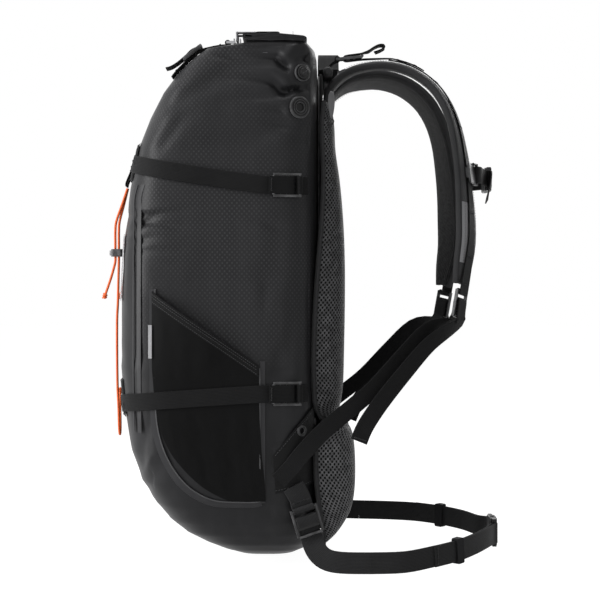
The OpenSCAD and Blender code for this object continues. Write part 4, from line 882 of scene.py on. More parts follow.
HEM_PROFILE = ((-1.2, 0.2), (-1.4, 1.3), (-0.6, 2.3), (2, 2.45), (6, 2.35), (10.6, 2.3), (12, 1.7))
for side, mirror in SIDES:
    cols, rws = 48, 60

    def knit_at(off, share):
        def at(r, c):
            f = c / cols
            x = pocket_x(f)
            z = pocket_low(x) + (pocket_top(x) - pocket_low(x)) * r / rws
            ripple = 0.9 * wobble(x * 0.055, z * 0.012, 2.0 + mirror) + 0.35 * wobble(x * 0.12, z * 0.05, 5.0)
            ripple *= min(1.0, min(f, 1 - f, r / rws * 1.4) * 8)
            if r > rws * 0.9:
                ripple *= 0.4
            if abs(z + 412) < 20:
                ripple = min(ripple, 0) * 0.5
            return pocket_point(f, z, off + ripple * share), (x / 10, z / 10)
        return at

    b = Build()
    b.field(rws, cols, knit_at(GAP + 0.1 + 1.35, 1.0), flip=True)
    b.field(rws, cols, knit_at(GAP + 0.1 + 0.25, 0.8))
    piece(f"pocket_cloth_{side}", b, KNIT, replaces=(f"side_pocket_{side}",), slot="stretch_fabric",
          mirror=mirror, angle=80)

    # the hem: a doubled band with rows of stitching
    def hem_at(c, k):
        x, (down, off) = pocket_x(c / cols), HEM_PROFILE[k]
        return pocket_point(c / cols, pocket_top(x) - down, GAP + off), (down / 10, x / 10)

    h = Build()
    h.field(cols, len(HEM_PROFILE) - 1, hem_at)
    for down in (2.0, 5.2, 10.2):
        tops = [(c / cols, pocket_top(pocket_x(c / cols)) - down) for c in range(cols + 1)]
        pts = [[pocket_point(f, z, GAP + off) for off in (2.5, 3.5)] for f, z in tops]
        h.stitches([p for p, q in pts], [unit(q - p) for p, q in pts], pitch=2.8, length=2.0, radius=0.22)
    piece(f"pocket_hem_{side}", h, [HEM, THREAD], slot="stretch_fabric", mirror=mirror)
    # welded tapes: round the pocket, and along the bag's front corner
    t = Build()
    xs = [POCKET_FRONT + FOOT_RUN * (k / 14) ** 1.6 for k in range(15)]
    edge = [(POCKET_FRONT - 3.5, z) for z in (-290, -330, -370, -400, -418)]
    edge += [(x - 2.8 + 2.8 * (x - POCKET_FRONT) / FOOT_RUN, pocket_low(x) - 3.2) for x in xs[1:]]
    edge += [(-110, POCKET_FOOT - 3.5), (-90, POCKET_FOOT - 3.5), (-79, POCKET_FOOT - 1)]
    surface_strip(t, edge, 8, GAP - 0.45, 0.8)
    surface_strip(t, [(-77.5, z) for z in (POCKET_FOOT - 2, -480, -430, -395, -372)], 6, GAP - 0.45, 0.8)
    # a pale bead runs where the pocket meets the tape
    surface_strip(t, [(x + 3.0, z + (2.6 if z < -420 else 0)) for x, z in edge], 1.5, GAP - 0.1, 1.5, mat=1)
    rear = [(-80.6, z) for z in (POCKET_FOOT + 1, -480, -430, -395, -380)]
    surface_strip(t, rear, 1.4, GAP - 0.1, 1.5, mat=1)
    piece(f"pocket_tape_{side}", t, [TRIM, SEAM], slot="coated_fabric", mirror=mirror)
    c = Build()
    for x, width, thick in ((-219, 5, 0.45), (-226, 1.5, 0.6)):
        line = [(x + (4 if z > -180 else 0), z) for z in range(-170, -470, -15)]
        surface_strip(c, line, width, -0.05, thick)
    piece(f"corner_tape_{side}", c, TRIM, slot="coated_fabric", mirror=mirror)

TAB_PROFILE = ((-3.5, 0), (-3.4, 0.8), (-1.5, 0.9), (0.4, 0.8), (0.5, 0))


def tab_at(i, k):
    z, (x, up) = -369 + 38 * i / 8, TAB_PROFILE[k]
    return bag_at(angle_at_x(POCKET_FRONT + x, -430), z, GAP + 1.6 + 0.9 + up), (x / 10, z / 10)


b = Build()
b.field(8, len(TAB_PROFILE) - 1, tab_at, flip=True)
piece("pocket_tab", b, GREYPAD, replaces=("pocket_tag",), slot="grey_trim")

# ---------------------------------------------------------------- roll top
ROLL_DEPTH, ROLL_THICK, ROLL_HALF = 77, 12, 147
ROLL_MIDDLE = rear_x(RIM_Z) - 2 - ROLL_DEPTH / 2
ROLL_BASE = RIM_Z + 0.5
ROLL_FRONT = ROLL_MIDDLE - ROLL_DEPTH / 2


def roll_point(turn, inset):
    """A point of the flattened roll's outline, turn from 0 to 1, and the way out of it."""
    r = ROLL_THICK / 2 - inset
    half = ROLL_DEPTH / 2 - ROLL_THICK / 2
    flat, bow = 2 * half, math.pi * r
    s = turn % 1 * (2 * flat + 2 * bow)
    zc = ROLL_BASE + ROLL_THICK / 2
    if s < flat:
        p, o = (half - s, r), (0, 1)
    elif s < flat + bow:
        a = math.pi / 2 + (s - flat) / r
        p, o = (-half + r * math.cos(a), r * math.sin(a)), (math.cos(a), math.sin(a))
    elif s < 2 * flat + bow:
        p, o = (-half + (s - flat - bow), -r), (0, -1)
    else:
        a = -math.pi / 2 + (s - 2 * flat - bow) / r
        p, o = (half + r * math.cos(a), r * math.sin(a)), (math.cos(a), math.sin(a))
    return vec(ROLL_MIDDLE + p[0], 0, zc + p[1]), vec(o[0], 0, o[1])


def roll_cloth():
    b = Build()
    turns, per = 2.7, 64
    count = int(turns * per)
    stations = [(-1 + 2 * k / 44) for k in range(45)]
    for face, side in ((0.55, False), (-0.55, True)):
        rows, uvs = [], []
        for i in range(count + 1):
            t = 0.55 + turns * i / count
            inset = 0.75 + 1.75 * (turns - turns * i / count)
            p, out = roll_point(t, min(inset, 5.3))
            row, st = [], []
            for u in stations:
                y = u * (ROLL_HALF - 0.4 - 1.6 * abs(wobble(t * 2.0, 3.0, 0)))
                wob = 0.28 * wobble(p[0] * 0.05, y * 0.03, 1.0)
                ease = 0.0 if abs(u) > 0.97 else 1.0
                q = p + out * (face * (1 - 0.25 * (1 - ease)) + wob - 0.3)
                back = clamp((q[0] - ROLL_FRONT) / ROLL_DEPTH)
                lean = 1 - 0.5 * back ** 1.4
                sag = 0.9 * wobble(y * 0.03, q[0] * 0.05, 5.0) * math.sin(math.pi * back)
                row.append(vec(q[0], y, ROLL_BASE + (q[2] - ROLL_BASE) * lean + min(sag, 0.4)))
                st.append((y / 10, t * 17.0))
            rows.append(row)
            uvs.append(st)
        b.grid(rows, uvs, flip=side)
    n, m = count + 1, len(stations)
    # narrow faces close the ends and the two edges of the rolled sheet
    rims = [(i * m + col, (i + 1) * m + col, col != 0) for i in range(n - 1) for col in (0, m - 1)]
    rims += [(i * m + j, i * m + j + 1, i == 0) for i in (0, n - 1) for j in range(m - 1)]
    for a, c, turned in rims:
        b.cap([a, c, c + n * m, a + n * m], [(0, 0), (0.3, 0), (0.3, 0.1), (0, 0.1)], flip=turned)
    # two seams across the roll's top
    for x in (ROLL_FRONT + 16, ROLL_FRONT + 60):
        line = [(x, y, ROLL_BASE + ROLL_THICK + 0.05) for y in range(-140, 141, 7)]
        b.stitches(line, [(0, 0, 1)] * len(line), pitch=3.6, length=2.4, radius=0.2)
    piece("roll_cloth", b, [ROLL, THREAD], body="roll", replaces=("roll_fabric",), slot="coated_fabric",
          angle=50)


roll_cloth()

CLOSURE_Y = 112
b = Build()
for sign in (1, -1):
    line = ((-86.3, 7.4), (-84.0, 8.45), (-72.0, 8.5), (-60.6, 8.45), (-59.6, 7.0))
    b.ribbon(flat((x, sign * CLOSURE_Y, z) for x, z in line), 24.6, 3, thick=1.9)
    for x in (-82, -63):
        b.bartack((x, sign * CLOSURE_Y, 9.35), (0, 1, 0), (1, 0, 0), width=19, length=1.5)
piece("roll_tabs", b, [STRAP, THREAD], body="roll", slot="webbing")
HOOK_X = ROLL_FRONT - 4.9 - 11.1
HOOK_Z = ROLL_BASE + 5 - 2.6
EYE = 1.5 + 0.3 + WEB
for side, mirror in SIDES:
    b = Build()
    heights = (0.936, 0.948, 0.96, 0.972, 0.982, 0.988)
    slope = [on_front(CLOSURE_Y, BASE_Z + h * BAG_H, GAP + 1.6) for h in heights]
    rows = [(p[0], -CLOSURE_Y, p[2] + 1.6, 0, 1, 0) for p in slope]
    rows += flat([(HOOK_X - 12, -CLOSURE_Y, HOOK_Z - 3.6), (HOOK_X, -CLOSURE_Y, HOOK_Z - EYE + WEB / 2)])
    b.ribbon(rows, NARROW, 4)
    b.ring((HOOK_X, -CLOSURE_Y, HOOK_Z), (0, 1, 0), (1, 0, 0), EYE, NARROW)
    b.bartack(vec(HOOK_X - 9, -CLOSURE_Y, HOOK_Z - 1.4), (0, 1, 0), (1, 0, 0.2))
    # the buckle block on the strap: two rails, three bars, and a tail that lifts off the bag
    c0, c1 = vec(rows[3][:3]), vec(rows[5][:3])
    run = unit(c1 - c0)
    up = unit(np.cross(run, (0, 1, 0)))
    up = up if up[2] > 0 else -up
    spot = (c0 + c1) / 2 + up * 2.6
    for y in (-11.4, 11.4):
        rail = [spot + run * t + vec(0, y, 0) for t in (-13, -6, 0, 6, 13)]
        b.sweep(rail, [(0, 1, 0)] * 5, [oval(2.6, 4.6, 3, 10)] * 5, mat=2)
    for t, size in ((-12, 3.6), (-1.5, 2.8), (12, 3.0)):
        bar = [spot + run * t + vec(0, y, 0) for y in (-12, -6, 0, 6, 12)]
        b.sweep(bar, [run] * 5, [oval(size, 3.6, 2.4, 10)] * 5, mat=2)
    tail = ((8, 1.6), (0, 3.2), (-8, 2.2), (-20, 1.6), (-30, 2.6), (-36, 5.0))
    b.ribbon(flat(spot + run * t + up * u for t, u in tail), NARROW, 4)
    foot = rows[1]
    b.bartack(vec(foot[0] - 0.9, -CLOSURE_Y, foot[2] + 1.2), (0, 1, 0),
              unit(vec(rows[2][:3]) - vec(rows[0][:3])), length=1.8)
    piece(f"closure_strap_{side}", b, [STRAP, THREAD, PLASTIC], replaces=("closure_straps",), slot="webbing",
          mirror=mirror)

# ---------------------------------------------------------------- front of the bag
UPPER_Z, LOWER_Z = -141, -417
TAB_FOOT, TAB_HALF = UPPER_Z - 27, 6


def bag_patch(b, y0, y1, z0, z1, off, thick, cols=20, rws=14):
    """A patch sewn to the bag's front, with a row of stitches inside its edge."""
    level, seam = (z0 + z1) / 2, 2.2

    def at(r, c):
        y, z = y0 + (y1 - y0) * c / cols, z0 + (z1 - z0) * r / rws
        edge = 0.0 if c in (0, cols) or r in (0, rws) else 1.0
        return bag_at(angle_at_y(y, level), z, off + thick * edge), (y / 10, z / 10)

    b.field(rws, cols, at)
    ring = []
    for f in np.linspace(0, 4, 41):
        y = np.interp(f, range(5), (y0 + seam, y1 - seam, y1 - seam, y0 + seam, y0 + seam))
        z = np.interp(f, range(5), (z0 + seam, z0 + seam, z1 - seam, z1 - seam, z0 + seam))
        ring.append([bag_at(angle_at_y(y, level), z, off + thick + up) for up in (0.1, 1.1)])
    b.stitches([p for p, q in ring], [unit(q - p) for p, q in ring])


TAPE_PROFILE = ((0, 0), (0.04, 0.8), (0.5, 0.85), (0.96, 0.8), (1, 0))


def tape_at(i, k):
    end, (s, up) = min(i, 24 - i), TAPE_PROFILE[k]
    inset = {0: 2.4, 1: 0.7}.get(end, 0.0)
    y, z = 101 + inset + (12 - 2 * inset) * s, -304 + 79 * i / 24
    return bag_at(angle_at_y(y, -265), z, GAP - 0.1 + up * (0.2 if end == 0 else 1)), (y / 10, z / 10)


for side, mirror in SIDES:
    b = Build()
    for z in (UPPER_Z, LOWER_Z):
        bag_patch(b, TOOL_Y - 14, TOOL_Y + 46, z - 22, z + 22, GAP - 0.2, 1.5)
    # the folded tab that holds the tool cord
    low = on_front(TOOL_Y - TAB_HALF, TAB_FOOT, 0)[0] - GAP - WEB - 0.4
    high = on_front(TOOL_Y - TAB_HALF, UPPER_Z, 0)[0] - GAP - WEB - 0.4
    y = -TOOL_Y
    rows = [(high - 0.6, y, UPPER_Z + 6), (high - 0.8, y, UPPER_Z - 6), (low - 1.2, y, TAB_FOOT + 5),
            (low - 2.3, y, TAB_FOOT + 0.9), (low - 3.6, y, TAB_FOOT + 5), (high - 3.0, y, UPPER_Z - 7),
            (high - 2.4, y, UPPER_Z - 1)]
    b.ribbon(flat(rows), 2 * TAB_HALF, 5, thick=1.2, mat=2)
    b.bartack(vec(high - 3.8, y, UPPER_Z - 7), (0, 1, 0), (0, 0, 1), width=10, length=2)
    piece(f"front_patch_{side}", b, [GUSSET, THREAD, STRAP], replaces=("front_anchors",), slot="webbing",
          mirror=mirror)
    r = Build()
    r.field(24, len(TAPE_PROFILE) - 1, tape_at)
    piece(f"reflective_tape_{side}", r, TAPE, replaces=("reflective_strip",), slot="grey_trim", mirror=mirror)

# ---------------------------------------------------------------- side straps
EYE_R, LOCK_LENGTH, WRAP_X, GRIP_X = 1.8 + 0.3 + WEB, 30, 13, 21
LOCK_BAR_X = -36
STRAP_OFF = GAP + 1.6 + 0.7 + WEB / 2


def side_frame(z):
    middle = LOCK_BAR_X - LOCK_LENGTH / 2
    out = out_of_bag(middle, z)
    x = unit(np.cross((0, 0, 1), out))
    return Frame(on_bag(middle, z, GAP + EYE_R) + LOCK_LENGTH / 2 * x, -x, out)


def strap_rows(z0, z1):
    f = side_frame(z1)
    x_end, x_front = LOCK_BAR_X - LOCK_LENGTH - 8, front_x(z0) + 6
    rows = []
    for k in range(13):
        s = k / 12
        x, z = x_front + (x_end - x_front) * s ** 1.5, z0 + (z1 - z0) * s
        p = on_bag(x, z, STRAP_OFF)
        a = unit(on_bag(x, z + 8, 0) - on_bag(x, z - 8, 0))
        rows.append((*p, 0, a[1], a[2]))
    for p in ((GRIP_X, 0, -3.0), (WRAP_X - 2, 0, -3.0), (8, 0, -1.6), (7.6, 0, 0.6),
              (8.8, 0, 2.6), (WRAP_X, 0, 3.4), (GRIP_X, 0, 3.6), (LOCK_LENGTH + 6, 0, 3.9)):
        rows.append((*f.at(p), 0, 0, 1))
    return rows, f


for side, mirror in SIDES:
    for level, z0, z1 in (("upper", -143, -172), ("lower", -423, -409)):
        b = Build()
        rows, f = strap_rows(z0, z1)
        b.ribbon(rows, NARROW, 4)
        b.eye(f, NARROW)
        turn = math.radians(-33)
        c, s, z = math.cos(turn), math.sin(turn), -EYE_R + WEB / 2
        stub = [(*f.at((x * c + z * s, 0, -x * s + z * c)), *f.y) for x in (0.4, -4, -8, -12, -15.6)]
        b.ribbon(stub, NARROW, 2)
        end = f.at((LOCK_LENGTH + 3.5, 0, 4.9))
        b.bartack(end, f.y, f.x, length=1.4)
        head = rows[1]
        b.bartack(vec(head[:3]) + 0.95 * out_of_bag(head[0] + 2, head[2]), (0, 0, 1),
                  unit(vec(rows[2][:3]) - vec(rows[0][:3])), length=1.8)
        strap(f"side_strap_{level}_{side}", b, [STRAP, THREAD], mirror)

# ---------------------------------------------------------------- back system
SHEET_X = BACK_X + 0.3
PANEL_X = SHEET_X + 1.7
PAD_X = PANEL_X + 4.4
PANEL_HALF, CHANNEL = 100, 20
# rows of each pad: height, front face, outer side, and the depth of its bound edge
UPPER_PAD = [
    (-442, 2, 112, -11), (-436, 9, 122, -15), (-424, 13, 130, -20), (-400, 16, 134, -22),
    (-360, 17, 135, -22), (-310, 18, 134, -20), (-255, 18, 132, -16), (-205, 16, 129, -12),
    (-160, 12, 126, -10.5), (-125, 7, 122, -11.5), (-98, 6, 116, -12), (-80, 4, 110, -10.5),
    (-70, 0, 107, -9.8)]
LUMBAR_PAD = [
    (-588, -2, 107, -9.5), (-580, 8, 111, -10), (-566, 18, 118, -11), (-548, 26, 128, -14),
    (-522, 30, 134, -18), (-485, 30, 136, -20), (-460, 27, 134, -19), (-450, 21, 128, -15),
    (-446, 12, 120, -11)]


def pad_ring(front, outer, border, z):
    b, i, t, y1 = PAD_X, CHANNEL, front - PAD_X, min(outer - 5, PANEL_HALF + 1)
    pts = [(b, i + 1), (b, (i + y1) / 2), (b, y1), ((b + border) / 2 - 0.6, (y1 + outer) / 2 + 1),
           (border, outer), (border + 3.5, outer + 3), (b + t * 0.3, outer + 3), (b + t * 0.72, outer - 5),
           (b + t * 0.93, outer - 17), (front, outer - 34), (front + 0.8, (i + outer) / 2), (front, i + 20),
           (b + t * 0.86, i + 8), (b + t * 0.45, i + 1.5)]
    return [vec(p[0], -p[1], z) for p in pts]


def shrunk(ring, sizes):
    """Copies of a ring, drawn in towards its middle."""
    mid = sum(ring) / len(ring)
    return [[mid + (p - mid) * s for p in ring] for s in sizes]


def pad_object(name, table, mesh_mat, node, mirror):
    """A foam pad under spacer mesh, with a bound edge. The ends close on their middles."""
    rows = smooth(table, 3)
    b = Build()
    rings = [pad_ring(r[1], r[2], r[3], r[0]) for r in rows]
    rings = shrunk(rings[0], (0.02, 0.5, 0.85)) + rings + shrunk(rings[-1], (0.85, 0.5, 0.02))
    uvs, run = [], 0.0
    for i, ring in enumerate(rings):
        st, u = [], 0.0
        if i:
            run += np.linalg.norm(ring[9] - rings[i - 1][9])
        for j, p in enumerate(ring + ring[:1]):
            if j:
                u += np.linalg.norm(p - (ring + ring[:1])[j - 1])
            st.append((u / 10, run / 10))
        uvs.append(st)
    b.grid(rings, uvs, closed=True, flip=True)
    # the first five faces of each ring are the pad's back and side, in cover cloth
    b.m = [1 if n % len(rings[0]) < 5 else 0 for n in range(len(b.f))]
    pad = piece(name, b, [mesh_mat, COVER], replaces=(node,), slot="air_mesh", mirror=mirror, angle=60,
                subdivide=2)
    # the bound edge runs up the outer side and over both ends
    e = Build()
    line = [vec(r[3] + 2.4, -(r[2] + 1.2), r[0]) for r in rows]
    ring = oval(4.4, 9.5, 2.6, 12)
    e.sweep(line, [(1, 0.25, 0)] * len(line), [ring] * len(line))
    seam = [p + vec(1.1, -2.35, 0) for p in line]
    e.stitches(seam, [(0.2, -1, 0)] * len(seam), pitch=3.2, length=2.2, radius=0.22)
    piece(name + "_edge", e, [BINDING, THREAD], slot="air_mesh", mirror=mirror, angle=60)


for side, mirror in SIDES:
    pad_object(f"back_pad_{side}", UPPER_PAD, MESH, "upper_pads", mirror)
    pad_object(f"lumbar_pad_{side}", LUMBAR_PAD, COARSE, "lumbar_pads", mirror)


def back_panel_cloth():
    """The panel that the pads are sewn to, with a piped edge and a sleeve over each stay."""
    b = Build()
    top, foot, r = -30, -578, 34
    mid, hz, hy = (top + foot) / 2, (top - foot) / 2, PANEL_HALF

    def edge(a, inset):
        c, s = math.cos(a), math.sin(a)
        n = 9.0
        k = (abs(c) ** n + abs(s) ** n) ** (-1 / n)
        return vec(0, (hy - inset) * k * c, mid + (hz - inset) * k * s)

    turns = 120
    rows, uvs = [], []
    profile = ((2, 0.1), (0.4, 0.8), (0.0, 2.0), (0.6, 3.2), (2.2, 3.9), (6, 3.7), (14, 3.8), (34, 4.0),
               (60, 4.0), (97, 4.0))
    for inset, x in profile:
        ring = []
        for k in range(turns):
            p = edge(2 * math.pi * k / turns, min(inset, hy - 1.5))
            pull = 0.0
            if inset > 4:
                pull = -0.5 * abs(wobble(p[1] * 0.05, p[2] * 0.03, 8.0))
            ring.append(vec(PANEL_X + x + pull, p[1], p[2]))
        rows.append(ring)
        uvs.append([(p[1] / 10, p[2] / 10) for p in ring + ring[:1]])
    b.grid(rows, uvs, closed=True)
    back = [vec(PANEL_X + 0.1, p[1], p[2]) for p in rows[0]]
    centre = [vec(PANEL_X + 0.1, p[1] * 0.02, mid + (p[2] - mid) * 0.9) for p in rows[0]]
    uvs = [[(p[1] / 10, p[2] / 10) for p in row + row[:1]] for row in (centre, back)]
    b.grid([centre, back], uvs, closed=True)
    for s in (-1, 1):
        line = [(PANEL_X + 4.05, s * 72, z) for z in range(-525, -45, 8)]
        b.stitches(line, [(1, 0, 0)] * len(line), pitch=3.6, length=2.5, radius=0.2)
    line = [edge(2 * math.pi * k / turns, 5) + vec(PANEL_X + 4.0, 0, 0) for k in range(turns + 1)]
    b.stitches(line, [(1, 0, 0)] * len(line), pitch=3.6, length=2.5, radius=0.2)
    piece("back_panel_cloth", b, [PANEL, THREAD], replaces=("back_panel",), slot="black_fabric", angle=50)


back_panel_cloth()

LIFTER_Y = 58
LIFTER = Frame((10, -LIFTER_Y, -12), (1, 0, 0.1), (-0.1, -0.1, 1))
YOKE_R = 6
YOKE_X, YOKE_Z = PAD_X + YOKE_R, -24 - YOKE_R
b = Build()
line, rings = [], []
for k in range(61):
    y = -86 + 172 * k / 60
    end = min(k, 60 - k)
    size = {0: 0.55, 1: 0.86, 2: 0.97}.get(end, 1.0)
    soft = 1 + 0.02 * wobble(y * 0.09, 1.0, 2.0)
    line.append((YOKE_X, y, YOKE_Z))
    rings.append([(q[0] * size * soft, q[1] * size * soft) for q in oval(2 * YOKE_R, 2 * YOKE_R, 2.2, 24)])
b.sweep(line, [(1, 0, 0)] * len(line), rings)
line = [(YOKE_X + 5.9, y, YOKE_Z + 1.5) for y in range(-80, 81, 8)]
b.stitches(line, [(1, 0, 0.2)] * len(line), pitch=3.4, length=2.4, radius=0.2, mat=2)
for sign in (1, -1):
    tab = YOKE_R + 0.3 + WEB / 2
    low = LIFTER.row((0, 0, -EYE_R + WEB / 2))
    low[1] *= sign
    y = -LIFTER_Y * sign
    rows = flat([(YOKE_X - tab * 0.7, y, YOKE_Z + tab * 0.714), (YOKE_X, y, YOKE_Z + tab),
                 (low[0] - 5, y, low[2] - 1.5)])
    rows.append((*low[:3], low[3] * sign, low[4], low[5] * sign))
    b.ribbon(rows, NARROW, 4, mat=1)
    flip = vec(1, sign, 1)
    b.ring(LIFTER.o * flip, LIFTER.y * flip, (1, 0, 0.1), EYE_R, NARROW, mat=1)
    b.bartack((YOKE_X + 1, y, YOKE_Z + tab + 0.9), (0, 1, 0), (1, 0, 0), length=1.6, mat=2)
yoke = piece("yoke_tube", b, [COVER, STRAP, THREAD], replaces=("yoke",), slot="webbing")

b = Build()
foot = -24 + 1
rows = [(0, -46, foot), (0, -36, foot + 2.2), (0, -27, foot + 11), (0, -16, WEB / 2 - 1.2), (0, 0, WEB / 2),
        (0, 16, WEB / 2 - 1.2), (0, 27, foot + 11), (0, 36, foot + 2.2), (0, 46, foot)]
b.ribbon([(*p, 1, 0, 0) for p in rows], BELT, 6)
for s in (-1, 1):
    for y, up in ((36, 3.0), (42, 2.0)):
        b.bartack((0, s * y, foot + up), (1, 0, 0), (0, 1, -0.1 * s), width=20)
piece("haul_loop_webbing", b, [WIDE, THREAD], replaces=("haul_loop",), slot="webbing")

# ---------------------------------------------------------------- shoulder straps
STRAP_ROWS = [
    (-3.4, -50, -62, 50, 0), (3.4, -50, -44, 56, 2), (22, -51, -28, 60, 5), (45, -53, -20.5, 62, 8),
    (72, -56, -19.5, 63, 9), (100, -60, -28, 64, 10), (124, -65, -46, 64, 11), (140, -70, -70, 64, 12),
    (150, -75, -98, 63, 14), (156, -79, -130, 62, 17), (160, -82, -165, 60, 20), (162, -85, -200, 57, 24),
    (162, -88, -232, 50, 28), (158, -91, -260, 40, 32), (154, -93, -284, 26, 34)]
PAD_THICK = 12
strap_path = smooth(STRAP_ROWS, 3)
strap_line = [p[:3] for p in strap_path]
strap_across = []
for i, p in enumerate(strap_path):
    t = along(strap_line, i)
    y = unit(vec(0, 1, 0) - t[1] * t)
    n = np.cross(t, y)
    strap_across.append(y * math.cos(math.radians(p[4])) + n * math.sin(math.radians(p[4])))


def strap_out(i):
    return unit(np.cross(along(strap_line, i), strap_across[i]))


def pad_surface(i, u, above):
    """A point on the strap's outer face (above the middle), u mm across it."""
    return strap_line[i] + u * strap_across[i] + above * strap_out(i)


for side, mirror in SIDES:
    b = Build()
    rings, n = [], len(strap_line)
    for i in range(n):
        e = min(i, n - 1 - i)
        k = 0.7 if e == 0 else 0.92 if e == 1 else 1
        w, t = strap_path[i][3], PAD_THICK * k
        rings.append(oval(w - 1.0, t - 0.8, 3.2, 28))

    def strap_mat(i, j):
        # the outer face is cover cloth, the inner one mesh, and the lower outer part is grey
        if 15 <= j <= 26:
            return 1
        return 2 if 32 <= i <= 38 and 2 <= j <= 11 else 0

    b.sweep(strap_line, strap_across, rings, mats=strap_mat)
    pad = piece(f"shoulder_pad_{side}_cloth", b, [COVER, SQUARE, GREYPAD], replaces=(f"shoulder_pad_{side}",),
                slot="pad_fabric", mirror=mirror, angle=60, subdivide=1)
    e = Build()
    for s in (-1, 1):
        path, across, edge_rings = [], [], []
        for i in range(n):
            path.append(pad_surface(i, s * (strap_path[i][3] / 2 - 2.6), 0))
            across.append(strap_out(i))
            edge_rings.append(oval(7.4, 6.2, 2.6, 12))
        e.sweep(path, across, edge_rings)
        for face in (1, -1):
            seam = [pad_surface(i, s * (strap_path[i][3] / 2 - 8.5), face * PAD_THICK / 2 * 0.99)
                    for i in range(2, n - 1)]
            e.stitches(seam, [face * strap_out(i) for i in range(2, n - 1)], pitch=3.2, length=2.3,
                       radius=0.22)
    piece(f"shoulder_edge_{side}", e, [BINDING, THREAD], slot="pad_fabric", mirror=mirror, angle=60)

RAIL_FIRST, RAIL_LAST = 12, len(strap_line) - 1
RAIL_OFF = PAD_THICK / 2 + 0.3 + WEB / 2


def rail_row(i, extra=0.0):
    return np.concatenate([strap_line[i] + (RAIL_OFF + extra) * strap_out(i), strap_across[i]])


run_end, out_end = along(strap_line, RAIL_LAST), strap_out(RAIL_LAST)
rail_end = strap_line[RAIL_LAST] + RAIL_OFF * out_end + 8.5 * run_end
SHOULDER = Frame(rail_end + 0.5 * run_end - (EYE_R - WEB / 2) * out_end, run_end, out_end)
for side, mirror in SIDES:
    b = Build()
    rows = [rail_row(i) for i in range(RAIL_FIRST, RAIL_LAST + 1)]
    rows.append(np.concatenate([rail_end, strap_across[RAIL_LAST]]))
    b.ribbon(rows, NARROW, 2)
    b.eye(SHOULDER, NARROW)
    for i in (RAIL_FIRST + 6, 24, 33, 38, RAIL_LAST):
        b.bartack(rail_row(i, 0.85)[:3], strap_across[i], along(strap_line, i))
    piece(f"strap_rail_{side}", b, [STRAP, THREAD], replaces=("strap_rails",), slot="webbing", mirror=mirror)


def lock_bend(f, lock, side, far, near=31):
    """Names the pack and a lock, and gives two points in metres on the lock's line, at the far and the near
    end.
    """
    ends = [f.at((x, 0, 0)) / 1000 * vec(1, -1 if side == "left" else 1, 1) for x in (far, near)]
    return ("pack", f"{lock}_{side}", *[tuple(e) for e in ends])


# webbing round a ladder lock's middle bar, from under the lock to its upper side
ROUND_BAR = ((GRIP_X - 2, 0, -3.1), (WRAP_X - 2, 0, -3.1), (8, 0, -1.6), (7.6, 0, 0.6), (8.8, 0, 2.6),
             (WRAP_X, 0, 3.4))


def wrap(f, start, to):
    """Webbing that enters a ladder lock from below and leaves it over its grip."""
    return [f.row(p) for p in ((start, 0, -3.1), *ROUND_BAR, (GRIP_X, 0, 3.6), (to, 0, 4.2))]


WING_OFF = GAP + 2 + 0.8 + WEB / 2


def wing_row(x, z, extra):
    return (*on_bag(x, z, WING_OFF + extra), 0.7, 0, -0.7)


SHOULDER_WEB = [
    wing_row(-60, -509, 0.6), wing_row(-47, -494, 2), (-32, -158, -477, 0.7, 0, -0.7),
    (-8, -153, -452, 0.7, 0.05, -0.7), (22, -144, -428, 0.7, 0.1, -0.7), (52, -134, -403, 0.7, 0.2, -0.65),
    (84, -121, -368, 0.7, 0.35, -0.6), (114, -109, -338, 0.65, 0.5, -0.5)]
SHOULDER_TAIL = [
    SHOULDER.row((39, 0, 1.5)), (118, -120, -352, 0.7, 0.5, -0.5), (88, -134, -384, 0.7, 0.3, -0.65),
    (58, -146, -420, 0.8, 0.2, -0.55), (40, -152, -446, 0.9, 0.1, -0.4), (32, -154, -464, 0.95, 0.1, -0.3)]
LIFTER_TAIL = flat([(47, -60, -3.2), (54, -61, 1.2), (60, -62, 3.8), (65, -62, 3.8), (66.5, -62, 0.8),
                    (61, -61, -2.4), (55, -60, -4.4)])
for side, mirror in SIDES:
    b = Build()
    into_lock = [SHOULDER.row((38, 0, -10)), SHOULDER.row((31, 0, -4.6))]
    b.ribbon(SHOULDER_WEB + into_lock + wrap(SHOULDER, 26, 31) + SHOULDER_TAIL, NARROW, 4)
    last, prev = vec(SHOULDER_TAIL[-1]), vec(SHOULDER_TAIL[-2])
    d = unit(last[:3] - prev[:3])
    b.bartack(last[:3] - 3 * d + vec(0.4, -0.8, 0.2), last[3:], d, width=14, length=1.5)
    strap(f"shoulder_webbing_{side}", b, [STRAP, THREAD], mirror,
          bend=lock_bend(SHOULDER, "shoulder_lock", side, 85))
    b = Build()
    rows = [rail_row(RAIL_FIRST + i, WEB + 0.3) for i in (4, 3, 2, 1, 0)] + wrap(LIFTER, 33, 31) + LIFTER_TAIL
    b.ribbon(rows, NARROW, 4)
    for i in (RAIL_FIRST + 3, RAIL_FIRST + 1):
        b.bartack(rail_row(i, WEB + 1.15)[:3], strap_across[i], along(strap_line, i), length=2.2)
    strap(f"load_lifter_{side}", b, [STRAP, THREAD], mirror,
          bend=lock_bend(LIFTER, "lifter_lock", side, 60))

# ---------------------------------------------------------------- base wings
WING_HOLE = (-34, -452)


def wing_edge(k, up):
    """A point (x, z) of the wing's lower edge (up 0) to its upper edge (up 1), k from 0 to 5 along it."""
    low_z, top_z = -524 + 2 * k, -480 + 11 * k
    return -66 + 9 * k, low_z + (top_z - low_z) * up


def wing_at(off):
    def at(r, c):
        x, z = wing_edge(5 * c / 36, r / 44)
        return bag_at(angle_at_x(x, -480), z, off), (x / 10, z / 10)
    return at


